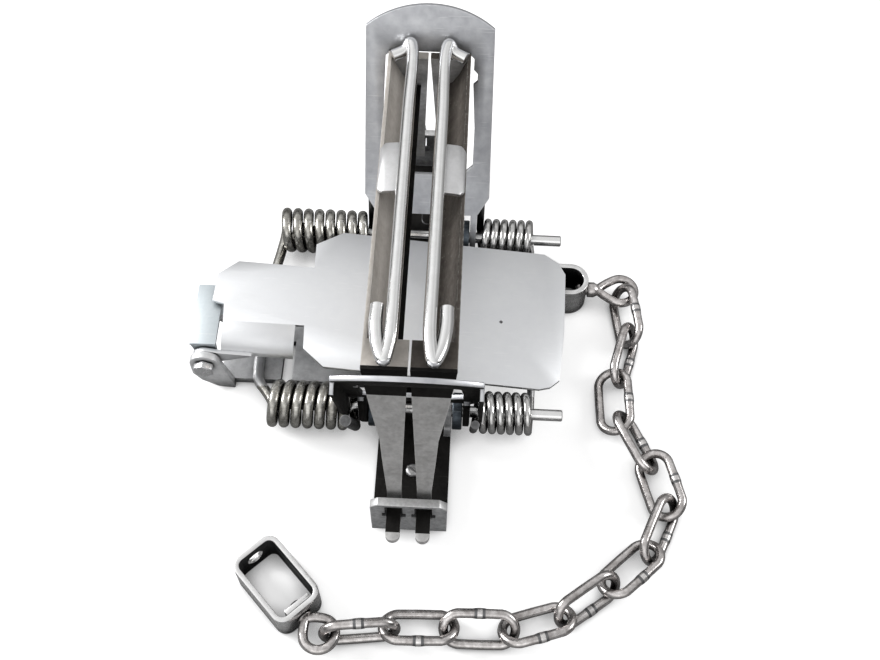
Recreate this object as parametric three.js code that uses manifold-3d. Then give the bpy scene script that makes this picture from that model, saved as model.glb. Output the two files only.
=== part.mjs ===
// Coil spring trap, sprung shut, lying on a floor with its swivel chain run out.
// Millimetres. X runs from the latch side to the chain side, Y away from the near jaw end, Z up.
// The origin is on the floor, under the middle of the base.
import * as THREE from "three";
import { mergeVertices } from "three/addons/utils/BufferGeometryUtils.js";
import Module from "manifold-3d";

const wasm = await Module();
wasm.setup();

// Shared fits
const gap = 0.3;
const overrun = 2;
const weld = 0.0001;
const shankSides = 16;

// Cross arm: the flat plate under the base that carries the latch and the chain
const arm = {
  thick: 4, leftReach: 88, near: 28.5, far: 20.6, wingHalf: 15,
  rightReach: 44, rightNear: 18, rightFar: 34, corner: 6,
  slotLeft: 61.5, slotRight: 56.5, slotDepth: 20,
};

// Base: raised channel with upturned ears that hold the jaws
const base = {
  width: 31, halfLength: 96.2, web: 3, earThick: 3.5, earTop: 30.5, earCorner: 3,
  relief: 2.2, wall: 3, wallHalf: 54, wallHeight: 12, lugRadius: 7.6,
  ribWidth: 6, ribNear: 57, ribFar: 83, ribHeight: 0.9, keyHalf: 3.55, keyRise: 8,
};

// Springs: one wire per side, each wound in two coils round the two rods
const mainSpring = {
  wire: 4.6, radius: 8.2, pitch: 5.08, near: { turns: 7, bulge: 8.4 }, far: { turns: 8, bulge: 1.6 },
};
const sideSpring = {
  wire: 3.4, pitch: 3.86, near: { turns: 6, bulge: 0.4 }, far: { turns: 6, bulge: 0.4 },
};
const springLeg = { length: 48, lead: 0.4, bridgeReach: 17 };

// Rods, bushes and levers
const rod = { radius: 2.5, y: 45.4, left: 58, right: 63, headRadius: 4, headLength: 2.5 };
const bush = { radius: 7.95, length: 4.2 };
const lever = {
  raisedNear: 66.9, raisedFar: 68.75, plate: 2.1, armThick: 2.7, eyeRadius: 6.4, armTop: 30,
  tip: 115.4, cornerR: 105.6, tipHalf: 26.6, neckR: 24.6, neckHalf: 28.2, throatR: 15, flange: 1.6,
  flangeStart: 26, flangeEnd: 103, slotInner: 36, slotOuter: 95, slotHalfIn: 20, slotHalfOut: 18.6,
  slotWideR: 60, slotCorner: 5, notchLow: 80.5, notchHigh: 87.5, notchDepth: 1.7, arcSteps: 12, tipDepth: 6.6,
};
const plateOverFlange = 10.2;

// Jaws
const jaw = {
  pivotX: 6, pivotZ: 20.5, tabWidth: 5.8, tabBeyond: 12.8, thick: 3, lean: 11.5, height: 86.3,
  wall: 1.4, topX: 17.2, innerX: 0.45, footGap: 0.6, endPlate: 12.5,
};
const jawRod = { radius: 2.5, x: 6.8, z: 112, y: 74.2, sides: 8, hairpin: 62, returnX: 12.5 };
const clip = { thick: 1.6, near: 0.5, far: 24, corner: 2.5 };

// Pan, latch and trigger bolt
const bolt = {
  beyond: 4.5, z: 20.5, radius: 2.5, headRadius: 4.6, headLength: 3.5, earThick: 3, earRadius: 6.5,
  nearEar: -31.3, farEar: 0.6, farEarRadius: 5.4, tailRadius: 3.2, tailLength: 1.2,
};
const pan = {
  tilt: 4.4, plate: 1.6, lift: 9.9, ear: 1.8, earRadius: 5.6, farEar: 0.1, reach: 156.6, half: 36.2,
  rollStart: 6.6, rollEnd: 37.8, rollNear: 14.9, rollRadius: 12, rollSweep: 76, webEnd: 20, earRise: 4.6,
};
const dog = {
  plate: 1.6, top: 7.8, left: 6.3, right: 5, far: 4.7, cheek: 1.8, cheekRadius: 4.6, farCheek: 2.3,
};

// Strap, swivels and chain
const strap = {
  y: 23, width: 16.4, thick: 2.2, height: 17, low: 0.5, seat: 1, reach: 75.4,
  pinX: 60, pinZ: 7.5, pinRadius: 2, end: 4.6,
};
const eye = {
  wire: 4.2, radius: 6.6, stem: 2.4, neck: 8.9, headRadius: 3.4, headHeight: 2.4,
  drawShare: 0.4, pinchShare: 0.45, collarShare: 1.45, collarEndShare: 0.6, crownShare: 0.6, riseShare: 0.75,
};
const link = {
  wire: 4, inner: 24.7, innerWidth: 9.6, collar: 0.45, collarHalf: 2.4, sides: 8, arcSteps: 6, floor: 0.3,
};
const chainRun = 100;
const box = {
  length: 34, width: 21.4, thick: 2.2, height: 16.5, corner: 5, hole: 3.6, lap: 2.2,
  heading: 134, low: 0.3, neck: 2.6,
};

// Small fasteners
const rivet = { radius: 2.2, headRadius: 4.2, headHeight: 2, y: 25 };
const screw = { radius: 2, headRadius: 3, headHeight: 1.6, inset: 25.2, tailRadius: 3, tailHeight: 1.1 };

// Heights that follow from the stack of pieces
const baseLow = arm.thick + gap;
const webTop = baseLow + base.web;
const rodZ = arm.thick + gap + mainSpring.wire / 2 + mainSpring.radius;
const legTop = mainSpring.wire / 2 - mainSpring.radius;
const flangeLow = legTop + gap;
const plateTop = flangeLow + plateOverFlange;
const plateLow = plateTop - lever.plate;
const armInner = base.width / 2 + gap + bush.length + gap;
const armOuter = armInner + lever.armThick;
sideSpring.radius = sideSpring.wire / 2 - legTop;
const earInner = base.halfLength - base.earThick;
const boltX = -arm.leftReach - bolt.beyond;
const screwY = screw.inset - base.halfLength;
const jawFoot = earInner - jaw.footGap - jaw.thick / 2;

// Finishes
function metal(color, roughness) {
  return new THREE.MeshStandardMaterial({ color, roughness, metalness: 1 });
}

const finish = {
  base: metal(0x6f7072, 0.5), arm: metal(0x77777a, 0.5), pan: metal(0xd4d6d8, 0.4),
  lever: metal(0xa9adb3, 0.42),
  jaw: metal(0x8b8784, 0.55), polished: metal(0xe4e4e6, 0.18), mainSpring: metal(0x8d8b80, 0.3),
  sideSpring: metal(0xb4b4b6, 0.25), bush: metal(0x3c4248, 0.5), bolt: metal(0xb6b8ba, 0.35),
  dog: metal(0xcfd8dc, 0.4), chain: metal(0x83797a, 0.32), box: metal(0x9b9b9c, 0.3),
  rivet: metal(0x909294, 0.4),
};

// Closed triangle mesh to a solid for joining and cutting, and back again
function solid(geometry) {
  const bare = geometry.clone();
  bare.deleteAttribute("normal");
  bare.deleteAttribute("uv");
  const merged = mergeVertices(bare, weld);
  const mesh = new wasm.Mesh({
    numProp: 3,
    vertProperties: new Float32Array(merged.attributes.position.array),
    triVerts: new Uint32Array(merged.index.array),
  });
  return new wasm.Manifold(mesh);
}

function geometryOf(body) {
  const mesh = body.getMesh();
  const geometry = new THREE.BufferGeometry();
  geometry.setAttribute("position", new THREE.BufferAttribute(new Float32Array(mesh.vertProperties), 3));
  geometry.setIndex(new THREE.BufferAttribute(new Uint32Array(mesh.triVerts), 1));
  geometry.computeVertexNormals();
  return geometry;
}

function join(...geometries) {
  return geometryOf(geometries.map(solid).reduce((whole, next) => whole.add(next)));
}

function carve(geometry, ...tools) {
  return geometryOf(tools.map(solid).reduce((whole, tool) => whole.subtract(tool), solid(geometry)));
}

function common(first, second) {
  return geometryOf(solid(first).intersect(solid(second)));
}

// Outlines
function outline(points) {
  return new THREE.Shape(points.map(([x, y]) => new THREE.Vector2(x, y)));
}

function rectangle(x0, y0, x1, y1) {
  return outline([[x0, y0], [x1, y0], [x1, y1], [x0, y1]]);
}

function lug(x, y, radius, low) {
  const shape = new THREE.Shape();
  shape.moveTo(x - radius, low);
  shape.lineTo(x + radius, low);
  shape.lineTo(x + radius, y);
  shape.absarc(x, y, radius, 0, Math.PI, false);
  return shape;
}

function roundedBox(halfX, halfY, radius) {
  const shape = new THREE.Shape();
  shape.moveTo(halfX, radius - halfY);
  shape.lineTo(halfX, halfY - radius);
  shape.absarc(halfX - radius, halfY - radius, radius, 0, Math.PI / 2, false);
  shape.lineTo(radius - halfX, halfY);
  shape.absarc(radius - halfX, halfY - radius, radius, Math.PI / 2, Math.PI, false);
  shape.lineTo(-halfX, radius - halfY);
  shape.absarc(radius - halfX, radius - halfY, radius, Math.PI, Math.PI * 1.5, false);
  shape.lineTo(halfX - radius, -halfY);
  shape.absarc(halfX - radius, radius - halfY, radius, -Math.PI / 2, 0, false);
  return shape;
}

// A bent strip of one thickness, drawn by the points of one face
function strip(points, thick) {
  const line = points.map(([x, y]) => new THREE.Vector2(x, y));
  const offset = line.map((point, i) => {
    const before = line[Math.max(i - 1, 0)];
    const after = line[Math.min(i + 1, line.length - 1)];
    const along = after.clone().sub(before).normalize();
    return point.clone().add(new THREE.Vector2(-along.y, along.x).multiplyScalar(thick));
  });
  return new THREE.Shape([...line, ...offset.reverse()]);
}

// Plates: flat in plan, upright across X and Z, or sideways across Y and Z
function extrude(shape, depth, steps = 6) {
  return new THREE.ExtrudeGeometry(shape, { depth, bevelEnabled: false, curveSegments: steps });
}

function flat(shape, z0, z1, steps) {
  return extrude(shape, z1 - z0, steps).translate(0, 0, z0);
}

function upright(shape, y0, y1, steps) {
  return extrude(shape, y1 - y0, steps).rotateX(Math.PI / 2).translate(0, y1, 0);
}

function sideways(shape, x0, x1, steps) {
  const turn = new THREE.Matrix4().makeBasis(
    new THREE.Vector3(0, 1, 0), new THREE.Vector3(0, 0, 1), new THREE.Vector3(1, 0, 0));
  return extrude(shape, x1 - x0, steps).applyMatrix4(turn).translate(x0, 0, 0);
}

// Round bars and holes along one axis
function barX(radius, x0, x1, y, z, sides = shankSides) {
  const bar = new THREE.CylinderGeometry(radius, radius, x1 - x0, sides);
  return bar.rotateZ(Math.PI / 2).translate((x0 + x1) / 2, y, z);
}

function barY(radius, y0, y1, x, z, sides = shankSides) {
  return new THREE.CylinderGeometry(radius, radius, y1 - y0, sides).translate(x, (y0 + y1) / 2, z);
}

function barZ(radius, z0, z1, x, y, sides = shankSides) {
  const bar = new THREE.CylinderGeometry(radius, radius, z1 - z0, sides);
  return bar.rotateX(Math.PI / 2).translate(x, y, (z0 + z1) / 2);
}

function holeRadius(radius) {
  return (radius + gap) / Math.cos(Math.PI / shankSides);
}

function turned(points, sides = shankSides) {
  return new THREE.LatheGeometry(points.map(([r, h]) => new THREE.Vector2(r, h)), sides);
}

// Low dome head on a shank, standing on the Y axis of the lathe
function domed(radius, low, headRadius, headHeight) {
  const crownShare = 0.72;
  const riseShare = 0.62;
  return [
    [0, low], [radius, low], [radius, 0], [headRadius, 0],
    [headRadius * crownShare, headHeight * riseShare], [0, headHeight],
  ];
}

// Tube swept along points, with a radius for each point
function sweep(points, radii, sides, closed = false) {
  const count = points.length;
  const at = (i) => points[closed ? (i + count) % count : Math.min(Math.max(i, 0), count - 1)];
  const radius = (i) => (Array.isArray(radii) ? radii[i] : radii);
  const tangents = points.map((_, i) => at(i + 1).clone().sub(at(i - 1)).normalize());
  const seed = Math.abs(tangents[0].z) < 0.9 ? new THREE.Vector3(0, 0, 1) : new THREE.Vector3(1, 0, 0);
  let normal = seed.clone().addScaledVector(tangents[0], -seed.dot(tangents[0])).normalize();
  const positions = [];
  points.forEach((point, i) => {
    normal = normal.clone().addScaledVector(tangents[i], -normal.dot(tangents[i])).normalize();
    const binormal = new THREE.Vector3().crossVectors(tangents[i], normal);
    for (let k = 0; k < sides; k += 1) {
      const turn = (2 * Math.PI * (k + 0.5)) / sides;
      const place = point.clone().addScaledVector(normal, Math.cos(turn) * radius(i));
      place.addScaledVector(binormal, Math.sin(turn) * radius(i));
      positions.push(place.x, place.y, place.z);
    }
  });
  const index = [];
  for (let i = 0; i < (closed ? count : count - 1); i += 1) {
    for (let k = 0; k < sides; k += 1) {
      const a = i * sides + k;
      const b = i * sides + ((k + 1) % sides);
      const c = ((i + 1) % count) * sides + k;
      const d = ((i + 1) % count) * sides + ((k + 1) % sides);
      index.push(a, b, d, a, d, c);
    }
  }
  if (!closed) {
    const last = (count - 1) * sides;
    for (let k = 1; k < sides - 1; k += 1) {
      index.push(0, k + 1, k);
      index.push(last, last + k, last + k + 1);
    }
  }
  const geometry = new THREE.BufferGeometry();
  geometry.setAttribute("position", new THREE.Float32BufferAttribute(positions, 3));
  geometry.setIndex(index);
  geometry.computeVertexNormals();
  return geometry;
}

function smooth(points, steps) {
  const places = points.map((point) => new THREE.Vector3(...point));
  return new THREE.CatmullRomCurve3(places, false, "centripetal").getPoints(steps);
}

const trap = new THREE.Group();

function piece(name, geometry, material, parent = trap) {
  const mesh = new THREE.Mesh(geometry, material);
  mesh.name = name;
  parent.add(mesh);
  return mesh;
}

// Cross arm, with two ears for the trigger bolt and a lug for the strap pin
function crossArm() {
  const { leftReach, near, far, wingHalf, rightReach, rightNear, rightFar, corner, thick } = arm;
  const plan = outline([
    [-leftReach, -near], [-wingHalf - corner, -near], [-wingHalf, corner - near], [wingHalf, corner - near],
    [wingHalf + corner, -rightNear], [rightReach - corner, -rightNear], [rightReach, corner - rightNear],
    [rightReach, rightFar - corner], [rightReach - corner, rightFar], [wingHalf + corner, rightFar],
    [wingHalf, far], [corner - leftReach, far], [-leftReach, far],
  ]);
  const ear = (radius) => {
    const shape = new THREE.Shape();
    shape.moveTo(corner - leftReach, thick);
    shape.lineTo(boltX + radius, bolt.z);
    shape.absarc(boltX, bolt.z, radius, 0, Math.PI, false);
    shape.lineTo(boltX - radius, 2 * corner);
    shape.lineTo(boltX - radius / 2, corner);
    shape.lineTo(boltX + radius / 2, thick / 4);
    shape.lineTo(corner - leftReach, 0);
    return shape;
  };
  const nearEar = upright(ear(bolt.earRadius), bolt.nearEar, bolt.nearEar + bolt.earThick);
  const farEar = upright(ear(bolt.farEarRadius), bolt.farEar, bolt.farEar + bolt.earThick);
  const tongueHalf = strap.width / 2 - strap.thick - gap;
  const tongueNear = strap.y - tongueHalf;
  const tongueFar = strap.y + tongueHalf;
  const tongue = flat(rectangle(rightReach - corner, tongueNear, strap.pinX, tongueFar), 0, thick);
  const knuckle = upright(lug(strap.pinX, strap.pinZ, strap.end, 0), tongueNear, tongueFar);
  const slot = rectangle(-arm.slotLeft, -near - overrun, -arm.slotRight, arm.slotDepth - near);
  const earEnd = bolt.farEar + bolt.earThick + overrun;
  const whole = join(flat(plan, 0, thick), nearEar, farEar, tongue, knuckle);
  return carve(
    whole,
    barY(holeRadius(bolt.radius), bolt.nearEar - overrun, earEnd, boltX, bolt.z),
    flat(slot, -overrun, thick + overrun),
    barY(holeRadius(strap.pinRadius), strap.y - strap.width, strap.y + strap.width, strap.pinX, strap.pinZ),
    ...[-rivet.y, rivet.y].map((y) => barZ(holeRadius(rivet.radius), -overrun, thick + overrun, 0, y / 2)),
  );
}

// Base channel
function baseFrame() {
  const half = base.width / 2;
  const web = flat(rectangle(-half, -base.halfLength, half, base.halfLength), baseLow, webTop);
  const earShape = outline([
    [-half, baseLow], [half, baseLow], [half, base.earTop - base.earCorner],
    [half - base.earCorner, base.earTop], [base.earCorner - half, base.earTop],
    [-half, base.earTop - base.earCorner],
  ]);
  const ears = [-1, 1].map((side) => {
    const outer = side * base.halfLength;
    return upright(earShape, Math.min(outer, side * earInner), Math.max(outer, side * earInner));
  });
  const wallShape = outline([
    [-base.wallHalf, baseLow], [base.wallHalf, baseLow], [base.wallHalf, webTop + base.wallHeight / 2],
    [rod.y, webTop + base.wallHeight], [-rod.y, webTop + base.wallHeight],
    [-base.wallHalf, webTop + base.wallHeight / 2],
  ]);
  const walls = [-half, half - base.wall].map((x) => join(
    sideways(wallShape, x, x + base.wall),
    ...[-rod.y, rod.y].map((y) => sideways(lug(y, rodZ, base.lugRadius, baseLow), x, x + base.wall)),
  ));
  const rib = roundedBox(base.ribWidth / 2, (base.ribFar - base.ribNear) / 2, base.ribWidth / 2);
  const ribMiddle = (base.ribFar + base.ribNear) / 2;
  const ribs = flat(rib, baseLow, webTop + base.ribHeight, 3).translate(0, ribMiddle, 0);
  const holes = [-1, 1].flatMap((side) => [-1, 1].flatMap((end) => {
    const x = side * jaw.pivotX;
    const clear = jaw.tabWidth / 2 + gap * 2.5;
    const slot = jaw.thick / 2 + gap;
    const long = clear + gap * 4;
    const y0 = end * base.halfLength - base.earThick - overrun;
    const y1 = end * base.halfLength + base.earThick + overrun;
    return [
      barY(clear, y0, y1, x, jaw.pivotZ),
      upright(rectangle(x - long, jaw.pivotZ - slot, x + long, jaw.pivotZ + slot), y0, y1),
      upright(rectangle(x - base.keyHalf, jaw.pivotZ, x + base.keyHalf, jaw.pivotZ + base.keyRise), y0, y1),
    ];
  }));
  const reliefs = [-1, 1].flatMap((side) => [-1, 1].map((end) => (
    barY(base.relief, earInner * end - overrun, earInner * end + overrun, side * half, webTop)
  )));
  return carve(
    join(web, ...ears, ...walls, ribs), ...holes, ...reliefs,
    ...[-rod.y, rod.y].map((y) => barX(holeRadius(rod.radius), -base.width, base.width, y, rodZ)),
    ...[-rivet.y, rivet.y].map((y) => barZ(holeRadius(rivet.radius), 0, webTop + overrun, 0, y / 2)),
    barZ(holeRadius(screw.radius), 0, webTop + overrun, 0, screwY),
  );
}

function armRivet(y) {
  const profile = domed(rivet.radius, gap - webTop - gap, rivet.headRadius, rivet.headHeight);
  return turned(profile).rotateX(Math.PI / 2).translate(0, y, webTop + gap);
}

function baseScrew() {
  const { radius, headRadius, headHeight, tailRadius, tailHeight } = screw;
  const tailTop = baseLow - gap;
  const head = turned([
    [0, -base.web - 2 * gap], [radius, -base.web - 2 * gap], [radius, 0], [headRadius, 0],
    [headRadius, headHeight / 2], [0, headHeight],
  ]);
  return join(
    head.rotateX(Math.PI / 2).translate(0, screwY, webTop + gap),
    barZ(tailRadius, tailTop - tailHeight, tailTop, 0, screwY),
  );
}

// Rods and bushes, alike at the near and the far end
function springRod(side) {
  const y = side * rod.y;
  return join(
    barX(rod.radius, -rod.left, rod.right, y, rodZ),
    barX(rod.headRadius, -rod.left - rod.headLength, -rod.left, y, rodZ),
  );
}

function leverBush(sideX, sideY) {
  const near = base.width / 2 + gap;
  const tube = carve(
    barX(bush.radius, near, near + bush.length, sideY * rod.y, rodZ),
    barX(holeRadius(rod.radius), near - overrun, near + bush.length + overrun, sideY * rod.y, rodZ),
  );
  return sideX > 0 ? tube : tube.translate(-2 * near - bush.length, 0, 0);
}

// Double torsion spring: leg, coil, bridge under the pan, coil, leg
function coil(spring, side, end, { turns, bulge }) {
  const lean = THREE.MathUtils.degToRad(end < 0 ? lever.raisedNear : lever.raisedFar);
  const start = Math.PI * 1.5 - lean;
  const total = lean + 2 * Math.PI * turns;
  const stepsPerTurn = 8;
  const steps = Math.round((total / (2 * Math.PI)) * stepsPerTurn);
  const first = armOuter + gap + spring.wire / 2;
  const bridgeShares = [[0.05, 0.25], [0.45, 0.55], [0.85, 0.8], [1, 1]];
  const at = (x, inward, z) => new THREE.Vector3(side * x, end * (rod.y - inward), z);
  const around = (x, turn) => at(x, spring.radius * Math.cos(turn), rodZ + spring.radius * Math.sin(turn));
  const bend = around(first, start);
  const along = new THREE.Vector3(0, end * Math.cos(lean), Math.sin(lean));
  const line = [bend.clone().addScaledVector(along, springLeg.length), bend];
  for (let i = 1; i <= steps; i += 1) {
    const share = i / steps;
    const run = (spring.pitch * total * share) / (2 * Math.PI);
    line.push(around(first + springLeg.lead + run, start + total * share));
  }
  const last = first + springLeg.lead + (spring.pitch * total) / (2 * Math.PI);
  bridgeShares.forEach(([out, inward]) => {
    line.push(at(last + springLeg.lead + bulge * out, springLeg.bridgeReach * inward, rodZ - spring.radius));
  });
  return line;
}

function springLine(spring, side) {
  return [...coil(spring, side, -1, spring.near), ...coil(spring, side, 1, spring.far).reverse()];
}

function leastSelfGap(points, wire) {
  const perLeg = 12;
  const dense = [];
  for (let i = 0; i + 1 < points.length; i += 1) {
    for (let k = 0; k < perLeg; k += 1) dense.push(points[i].clone().lerp(points[i + 1], k / perLeg));
  }
  let run = 0;
  const along = dense.map((point, i) => {
    run += i > 0 ? point.distanceTo(dense[i - 1]) : 0;
    return run;
  });
  let least = Infinity;
  const apart = wire * 3;
  for (let i = 0; i < dense.length; i += 1) {
    for (let k = i + 1; k < dense.length; k += 1) {
      if (along[k] - along[i] > apart) least = Math.min(least, dense[i].distanceTo(dense[k]));
    }
  }
  return least - wire;
}

function torsionSpring(name, spring, side) {
  const line = springLine(spring, side);
  console.log(`${name} least gap to itself ${leastSelfGap(line, spring.wire).toFixed(2)} mm`);
  return sweep(line, spring.wire / 2, 5);
}

// Lever, drawn lying along Y with the rod's axis at zero
function leverPlate() {
  const tipSagitta = lever.tip - lever.cornerR;
  const tipRadius = (lever.tipHalf ** 2 + tipSagitta ** 2) / (2 * tipSagitta);
  const tipAngle = Math.asin(lever.tipHalf / tipRadius);
  const shape = new THREE.Shape();
  shape.moveTo(-armOuter, lever.throatR);
  shape.lineTo(armOuter, lever.throatR);
  shape.lineTo(lever.neckHalf, lever.neckR);
  shape.lineTo(lever.tipHalf, lever.cornerR);
  shape.absarc(0, lever.tip - tipRadius, tipRadius, Math.PI / 2 - tipAngle, Math.PI / 2 + tipAngle, false);
  shape.lineTo(-lever.neckHalf, lever.neckR);
  const { slotHalfIn, slotHalfOut, slotInner, slotOuter, slotCorner, slotWideR } = lever;
  const slot = [
    [slotHalfIn - slotCorner, slotInner], [slotHalfIn, slotInner + slotCorner], [slotHalfIn, slotWideR],
    [slotHalfOut, lever.notchLow], [slotHalfOut + lever.notchDepth, lever.notchLow + lever.notchDepth],
    [slotHalfOut + lever.notchDepth, lever.notchHigh - lever.notchDepth], [slotHalfOut, lever.notchHigh],
    [slotHalfOut, slotOuter - slotCorner / 2], [slotHalfOut - slotCorner / 2, slotOuter],
    [slotCorner / 2 - slotHalfOut, slotOuter], [-slotHalfOut, slotOuter - slotCorner / 2],
    [-slotHalfIn, slotWideR], [-slotHalfIn, slotInner + slotCorner], [slotCorner - slotHalfIn, slotInner],
  ];
  shape.holes.push(new THREE.Path(slot.map(([x, y]) => new THREE.Vector2(x, y))));
  return flat(shape, plateLow, plateTop, lever.arcSteps);
}

function leverBody() {
  const edgeAt = (r) => {
    const share = (r - lever.neckR) / (lever.cornerR - lever.neckR);
    return lever.neckHalf + (lever.tipHalf - lever.neckHalf) * share;
  };
  const low = edgeAt(lever.flangeStart);
  const high = edgeAt(lever.flangeEnd);
  const taper = sideways(outline([
    [lever.flangeStart, flangeLow], [springLeg.length, flangeLow],
    [lever.flangeEnd, plateTop - lever.tipDepth], [lever.flangeEnd, plateTop], [lever.flangeStart, plateTop],
  ]), -low, low);
  const flanges = [-1, 1].map((side) => {
    const points = [
      [low - lever.flange, lever.flangeStart], [low, lever.flangeStart],
      [high, lever.flangeEnd], [high - lever.flange, lever.flangeEnd],
    ];
    return common(flat(outline(points.map(([x, y]) => [side * x, y])), flangeLow, plateTop), taper);
  });
  const profile = new THREE.Shape();
  profile.absarc(0, 0, lever.eyeRadius, Math.PI / 2, Math.PI * 1.5, false);
  profile.lineTo(lever.throatR, -lever.eyeRadius);
  profile.lineTo(lever.armTop, plateLow - lever.flange);
  profile.lineTo(lever.armTop, plateTop);
  profile.lineTo(lever.throatR, plateTop);
  const arms = [-armOuter, armInner].map((x) => sideways(profile, x, x + lever.armThick, 8));
  return carve(
    join(leverPlate(), ...flanges, ...arms),
    barX(holeRadius(rod.radius), -lever.tip, lever.tip, 0, 0),
  );
}

function addLever(name, side, raised) {
  const facing = new THREE.Group();
  facing.rotation.z = side > 0 ? 0 : Math.PI;
  const hinge = new THREE.Group();
  hinge.position.set(0, rod.y, rodZ);
  hinge.rotation.x = THREE.MathUtils.degToRad(raised);
  facing.add(hinge);
  trap.add(facing);
  piece(name, leverBody(), finish.lever, hinge);
}

// Jaw: two leaning legs with bent pivot tabs, and a gutter-shaped bar closed by a plate at one end
function jawBody(plateEnd) {
  const half = jaw.tabWidth / 2;
  const { pivotX, pivotZ, thick, height, topX, innerX } = jaw;
  const leanTurn = THREE.MathUtils.degToRad(jaw.lean);
  const outerShares = [[0.12, 0.26], [0.38, 0.4], [0.52, 0.46], [0.75, 0.75], [0.9, 0.91]];
  const footX = pivotX + half;
  const outer = outerShares.map(([up, out]) => [pivotX + Math.max((topX - pivotX) * out, half), height * up]);
  const waistShare = 0.14;
  const leg = outline([
    [pivotX - half, -thick / 2], [footX, -thick / 2], ...outer, [topX, height], [innerX, height],
    [pivotX - half, height * waistShare],
  ]);
  const legs = [-1, 1].map((end) => upright(leg, -thick / 2, thick / 2)
    .rotateX(end * leanTurn)
    .translate(0, end * jawFoot, pivotZ));
  const tabLength = base.halfLength + jaw.tabBeyond - jawFoot - half;
  const tabs = [-1, 1].map((end) => {
    const plan = new THREE.Shape();
    plan.moveTo(pivotX + half, 0);
    plan.lineTo(pivotX + half, tabLength);
    plan.absarc(pivotX, tabLength, half, 0, Math.PI, false);
    plan.lineTo(pivotX - half, 0);
    const tab = flat(plan, -thick / 2, thick / 2);
    const placed = end > 0 ? tab : tab.rotateX(Math.PI);
    return placed.translate(0, end * (jawFoot - thick / 2), pivotZ);
  });
  const top = pivotZ + height * Math.cos(leanTurn);
  const bendShares = [[1, 1], [0.8, 0.862], [0.62, 0.78], [0.38, 0.738], [0.24, 0.732]];
  const gutterLine = bendShares.map(([out, up]) => [topX * out, pivotZ + (top - pivotZ) * up]);
  const gutter = upright(strip(gutterLine.reverse(), jaw.wall), -base.halfLength, base.halfLength);
  const footHalf = jawFoot + thick / 2;
  const topHalf = footHalf - height * Math.sin(leanTurn);
  const reach = sideways(outline([
    [-footHalf, pivotZ], [footHalf, pivotZ], [topHalf, top], [-topHalf, top],
  ]), 0, base.width);
  const plateHalf = jaw.endPlate / 2;
  const plateY = plateEnd * (topHalf - plateHalf);
  const plate = rectangle(innerX, plateY - plateHalf, topX - jaw.wall / 2, plateY + plateHalf);
  return join(...legs, ...tabs, common(gutter, reach), flat(plate, top - jaw.wall, top));
}

function jawRodLine(side) {
  const { x, z, y, hairpin, returnX } = jawRod;
  const drop = jawRod.radius;
  const points = [
    [returnX + drop, y - 2 * drop, z - drop * 1.4], [returnX - drop, y - drop, z - drop],
    [x + drop / 2, y - drop / 5, z - drop / 8], [x, y - 2 * drop, z], [x, y / 2, z], [x, 0, z],
    [x, -y / 2, z], [x, -hairpin, z], [x + drop / 8, -y + 3 * drop, z - drop / 8],
    [x + drop / 1.3, -y, z - drop / 3], [x + drop * 1.7, -y + 2 * drop, z - drop / 2],
    [returnX, -hairpin + drop, z - drop / 2], [returnX, -hairpin + 4 * drop, z - drop / 2],
  ];
  return smooth(points.map(([px, py, pz]) => [side * px, py, pz]), 44);
}

function jawRodBody(side) {
  return sweep(jawRodLine(side), jawRod.radius, jawRod.sides);
}

// Plate that ties the rod to the jaw: it runs from beneath the rod out over the gutter's rim
const clipShares = [[-0.4, -1.6], [1.2, -1.7], [2.3, -1.85], [2.95, -2.05], [3.22, -2.32]];

function jawClip(side) {
  const { x, z, radius } = jawRod;
  const seat = radius + gap;
  const line = clipShares.map(([out, up]) => [x + seat * out, z + seat * up]);
  const bent = upright(strip(line, clip.thick), clip.near, clip.far);
  const outer = Math.max(...line.map(([along]) => along)) + clip.thick;
  const plan = outline([
    [0, clip.near], [outer - clip.corner, clip.near], [outer, clip.near + clip.corner],
    [outer, clip.far - clip.corner], [outer - clip.corner, clip.far], [0, clip.far],
  ]);
  const plate = common(bent, flat(plan, z - jaw.height, z + jaw.height));
  return side > 0 ? plate : mirroredX(plate);
}

function mirroredX(geometry) {
  const flipped = geometry.clone().scale(-1, 1, 1);
  const bare = flipped.index ? flipped.toNonIndexed() : flipped;
  const place = bare.attributes.position;
  for (let i = 0; i < place.count; i += 3) {
    const [x, y, z] = [place.getX(i + 1), place.getY(i + 1), place.getZ(i + 1)];
    place.setXYZ(i + 1, place.getX(i + 2), place.getY(i + 2), place.getZ(i + 2));
    place.setXYZ(i + 2, x, y, z);
  }
  bare.computeVertexNormals();
  return bare;
}

// Pan, drawn from the trigger bolt's axis, before it is tilted
const panLow = pan.lift;
const panTop = pan.lift + pan.plate;
const earOuter = -bolt.nearEar - bolt.earThick - gap * 2;

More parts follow.
